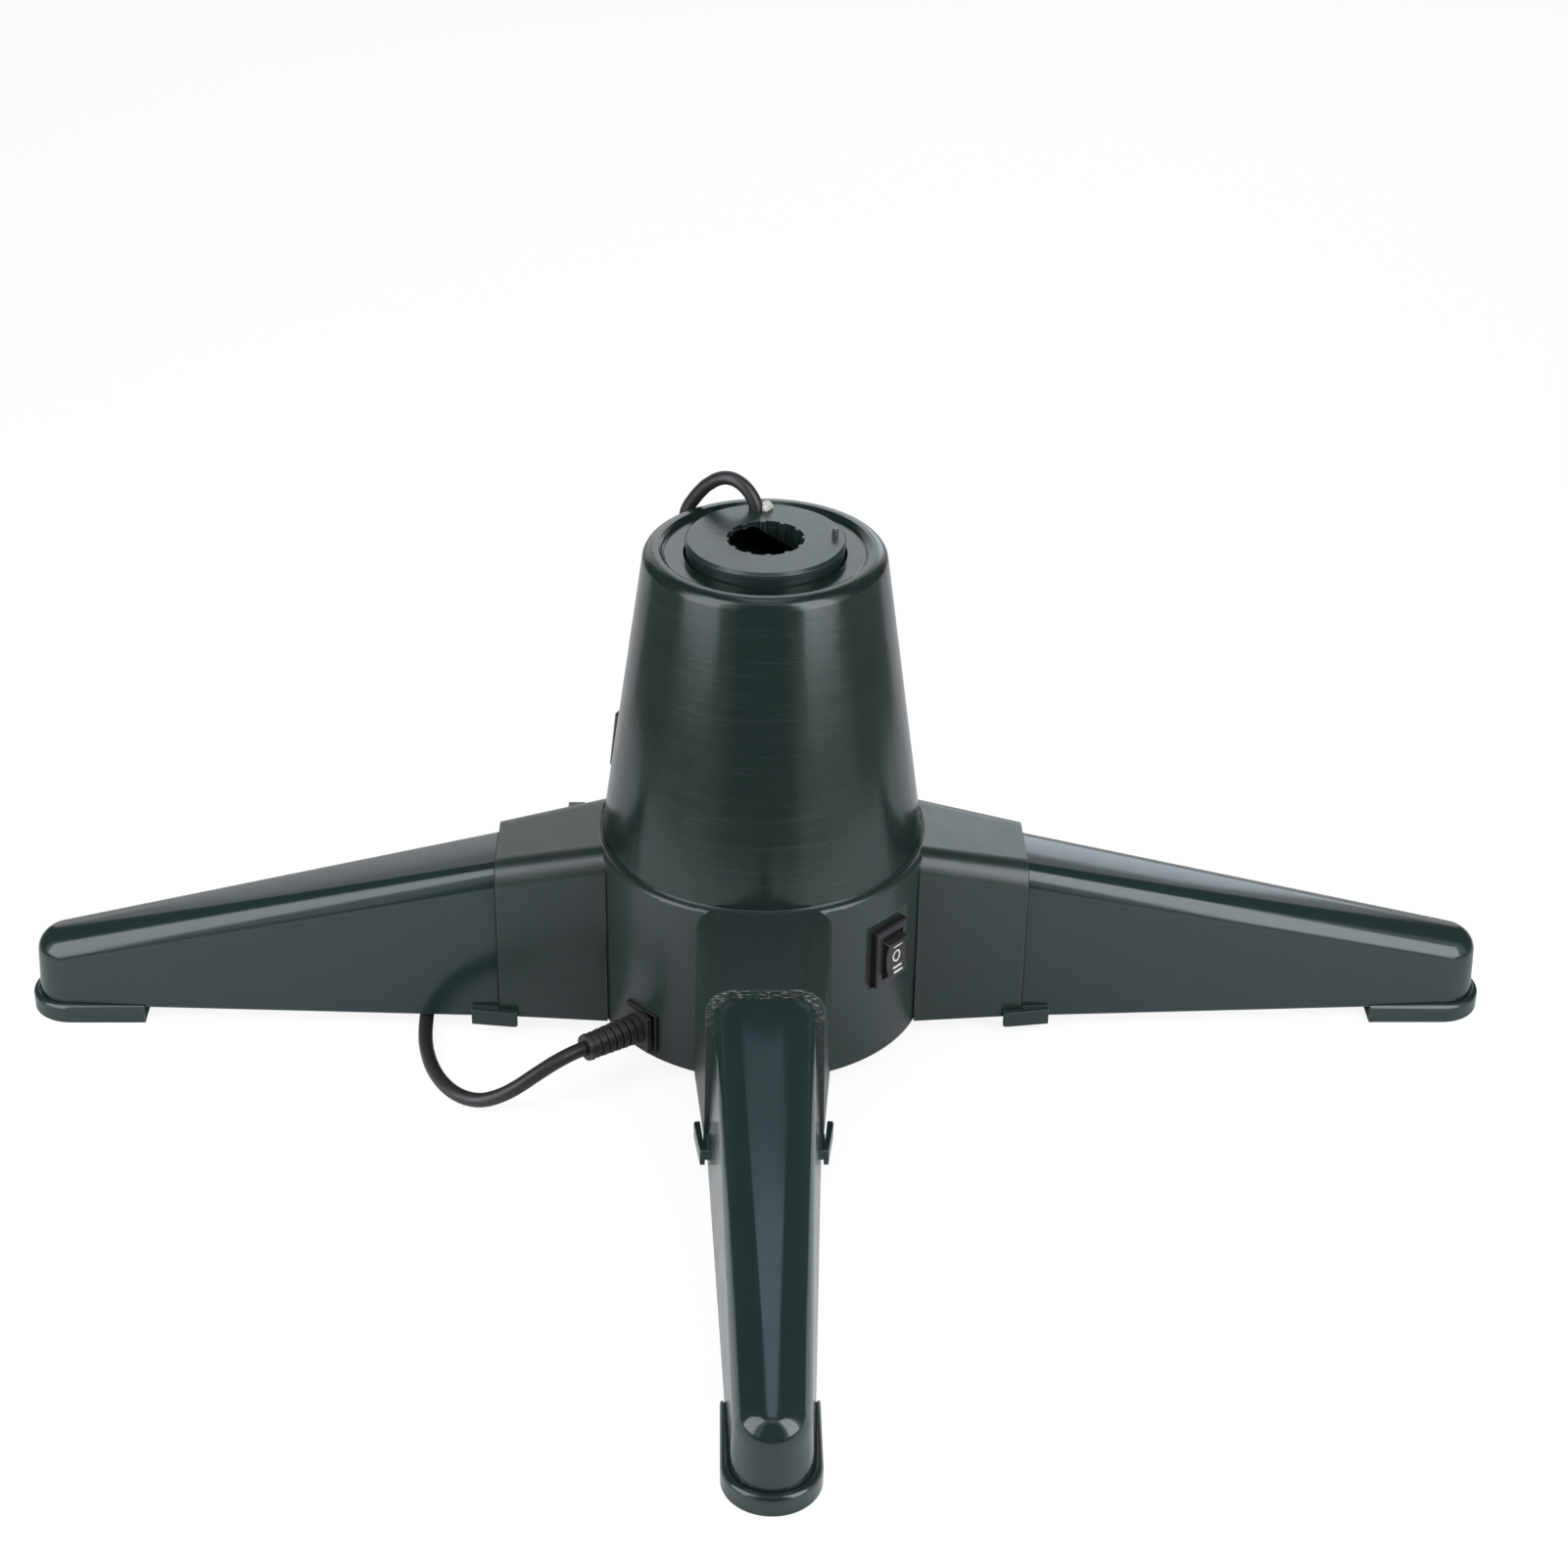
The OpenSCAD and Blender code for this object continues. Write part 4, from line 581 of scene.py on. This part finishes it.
# The same polypropylene from a plainer mould: satin, so that its top takes an even pale sheen
disc_green = moulded_plastic("polypropylene moulding, disc", "#1b2625", "#202c2a", 0.25, 0.6, 0.006)
disc_top = 175.7
pin_mark(disc_green, (-21.3, 0, disc_top))
pin_mark(disc_green, (18.6, 0.4, disc_top))
dress("turntable", disc_green, edge=0.2)

# Turned steel with its plating worn off: dark grey, with one soft streak of light down the pin
worn_steel = metal("worn steel", "#77787a", 0.34)
dress("index_pin", worn_steel, edge=0)

# Silicone sealant, dried and dusty: off-white, waxy and lumpy, mottled with grey
sealant = moulded_plastic("dried sealant", "#dddbd4", "#a5a198", 0.45, 0.4, 0.05)
dab_lumps = [(3, 2, 0.4, 0.22), (5, 4, 1.3, 0.14), (7, 7, 2.0, 0.10), (11, 9, 0.7, 0.07)]
dab = blob_mesh("dab of sealant", (outlet_x + 3.2, outlet_y - 0.2, 176.5), (1.7, 1.9, 1.9), dab_lumps)
place("cord_seal_skin", dab, "rotor", sealant, ["cord_seal"])

# ---------------------------------------------------------------------------------------------------------------
# Rocker switch
# A standard three-position rocker in black nylon, snapped into the flat on the drum, with its marks pad-printed in
# white and brass terminals behind.

# Glass-filled nylon: satin black with a warm cast and edges that have gone grey
switch_black = moulded_plastic("glass-filled nylon, black", "#1d191c", "#262125", 0.34, 0.3, 0.008)
# Rolled brass: pale yellow and bright, as stamped
yellow = metal("rolled brass", "#c8a45c", 0.30)
dress("switch_housing", switch_black, edge=0.15)
dress("switch_rocker", switch_black, edge=0.25)
dress("switch_terminals", yellow, edge=0)

# Pad-printed ink: flat white, a film 0.04 mm thick that stands just clear of the rocker
ink = moulded_plastic("pad-printed ink, white", "#f2efec", "#dedbd8", 0.5, 0.2, 0.002)
switch_az, switch_z, pivot_r, face_out = math.radians(-42.7), 44.8, 52.5, 8.0
dish_r = 16.0
dish_axis = pivot_r + face_out + 14.6
stroke, dash_length, ink_clear, ink_thick = 0.6, 4.4, 0.03, 0.04


def on_rocker(t, z):
    """Points on the rocker's face, t mm sideways and z mm up from its middle, just proud of it. The face is a round
    trough, so it stands dish_axis - sqrt(dish_r^2 - z^2) from the stand's axis."""
    r = dish_axis - np.sqrt(dish_r ** 2 - z ** 2) + ink_clear
    c, s = math.cos(switch_az), math.sin(switch_az)
    return np.stack([r * c - t * s, r * s + t * c, switch_z + z], -1) * MM


def ring_mark(half_w, half_h):
    """A printed oval: the band between the ellipse (half_w, half_h) and one a stroke smaller."""
    a, k = np.meshgrid(np.linspace(0, 2 * np.pi, 41)[:-1], [0.0, 1.0], indexing="ij")
    band = on_rocker((half_w - k * stroke) * np.cos(a), (half_h - k * stroke) * np.sin(a))
    return grid_mesh("oval", band, closed_u=True)


def dash_mark(z0):
    """A printed dash lying sideways, z0 mm above the rocker's middle: points (t, z0 + k), k half a stroke each way."""
    t, k = np.meshgrid(np.linspace(-dash_length / 2, dash_length / 2, 5), np.array([-0.5, 0.5]) * stroke, indexing="ij")
    return grid_mesh("dash", on_rocker(t, z0 + k))


for name, mesh in (("mark_off", ring_mark(1.9, 2.2)), ("mark_one", dash_mark(4.2)),
                   ("mark_two_a", dash_mark(-3.9)), ("mark_two_b", dash_mark(-5.4))):
    mark = place(name, mesh, "rocker", ink)
    film = mark.modifiers.new("ink", "SOLIDIFY")
    film.thickness, film.offset = ink_thick * MM, 0

# ---------------------------------------------------------------------------------------------------------------
# Strain relief, plug and outlet socket
# Soft vinyl mouldings on the two leads, with brass blades and contacts, and a nylon tie round the coil. The ribbed
# boot goes through the drum's wall and is held by its nut.

# Moulded vinyl: a softer black than the switch, with a matt skin and blunt edges
soft_vinyl = moulded_plastic("moulded vinyl, black", "#201c1f", "#292427", 0.44, 0.4, 0.010)
dress("strain_relief", soft_vinyl, edge=0.25)
dress("relief_nut", soft_vinyl, edge=0.2)
on_lead = [dress("power_plug", soft_vinyl, edge=0.4), dress("plug_blades", yellow, edge=0.2),
           dress("coil_tie", switch_black, edge=0.15)]
on_outlet = [dress("outlet_socket", soft_vinyl, edge=0.3), dress("outlet_contacts", yellow, edge=0)]

# ---------------------------------------------------------------------------------------------------------------
# The works inside
# Acetal gears and bush, a nylon deck, sleeve and brush holder, steel races, balls, motor and screws, a brass cage,
# and the carbon brushes and brass slip rings that feed the outlet lead. The deck is screwed to posts in the drum.

# Acetal: milky white and waxy. Nylon from a rougher mould: matt black. Pressed carbon: dark grey, dull and powdery.
# Zinc plating: bright grey with a faint haze
acetal = moulded_plastic("acetal moulding, natural", "#e4e0d3", "#d8d3c4", 0.40, 0.5, 0.006)
inner_black = moulded_plastic("nylon moulding, black", "#1e1e20", "#262628", 0.50, 0.5, 0.010)
carbon = moulded_plastic("pressed carbon", "#3a3a3c", "#2c2c2e", 0.55, 0.2, 0.010)
plated = metal("zinc-plated steel", "#c9cacc", 0.28)
for finish, edge, nodes in (
        (acetal, 0, ("drive_gear", "motor_pinion", "top_bush")),
        (inner_black, 0.2, ("bearing_deck", "slip_ring_sleeve", "brush_holder")),
        (plated, 0, ("gear_screws", "lower_race", "upper_race", "bearing_balls", "motor_can", "motor_shaft",
                     "motor_screws", "motor_nuts", "brush_springs", "brush_screws", "deck_screws", "base_screws")),
        (yellow, 0, ("ball_cage", "motor_gearbox", "slip_rings")),
        (carbon, 0.1, ("carbon_brushes",))):
    for node in nodes:
        dress(node, finish, edge)
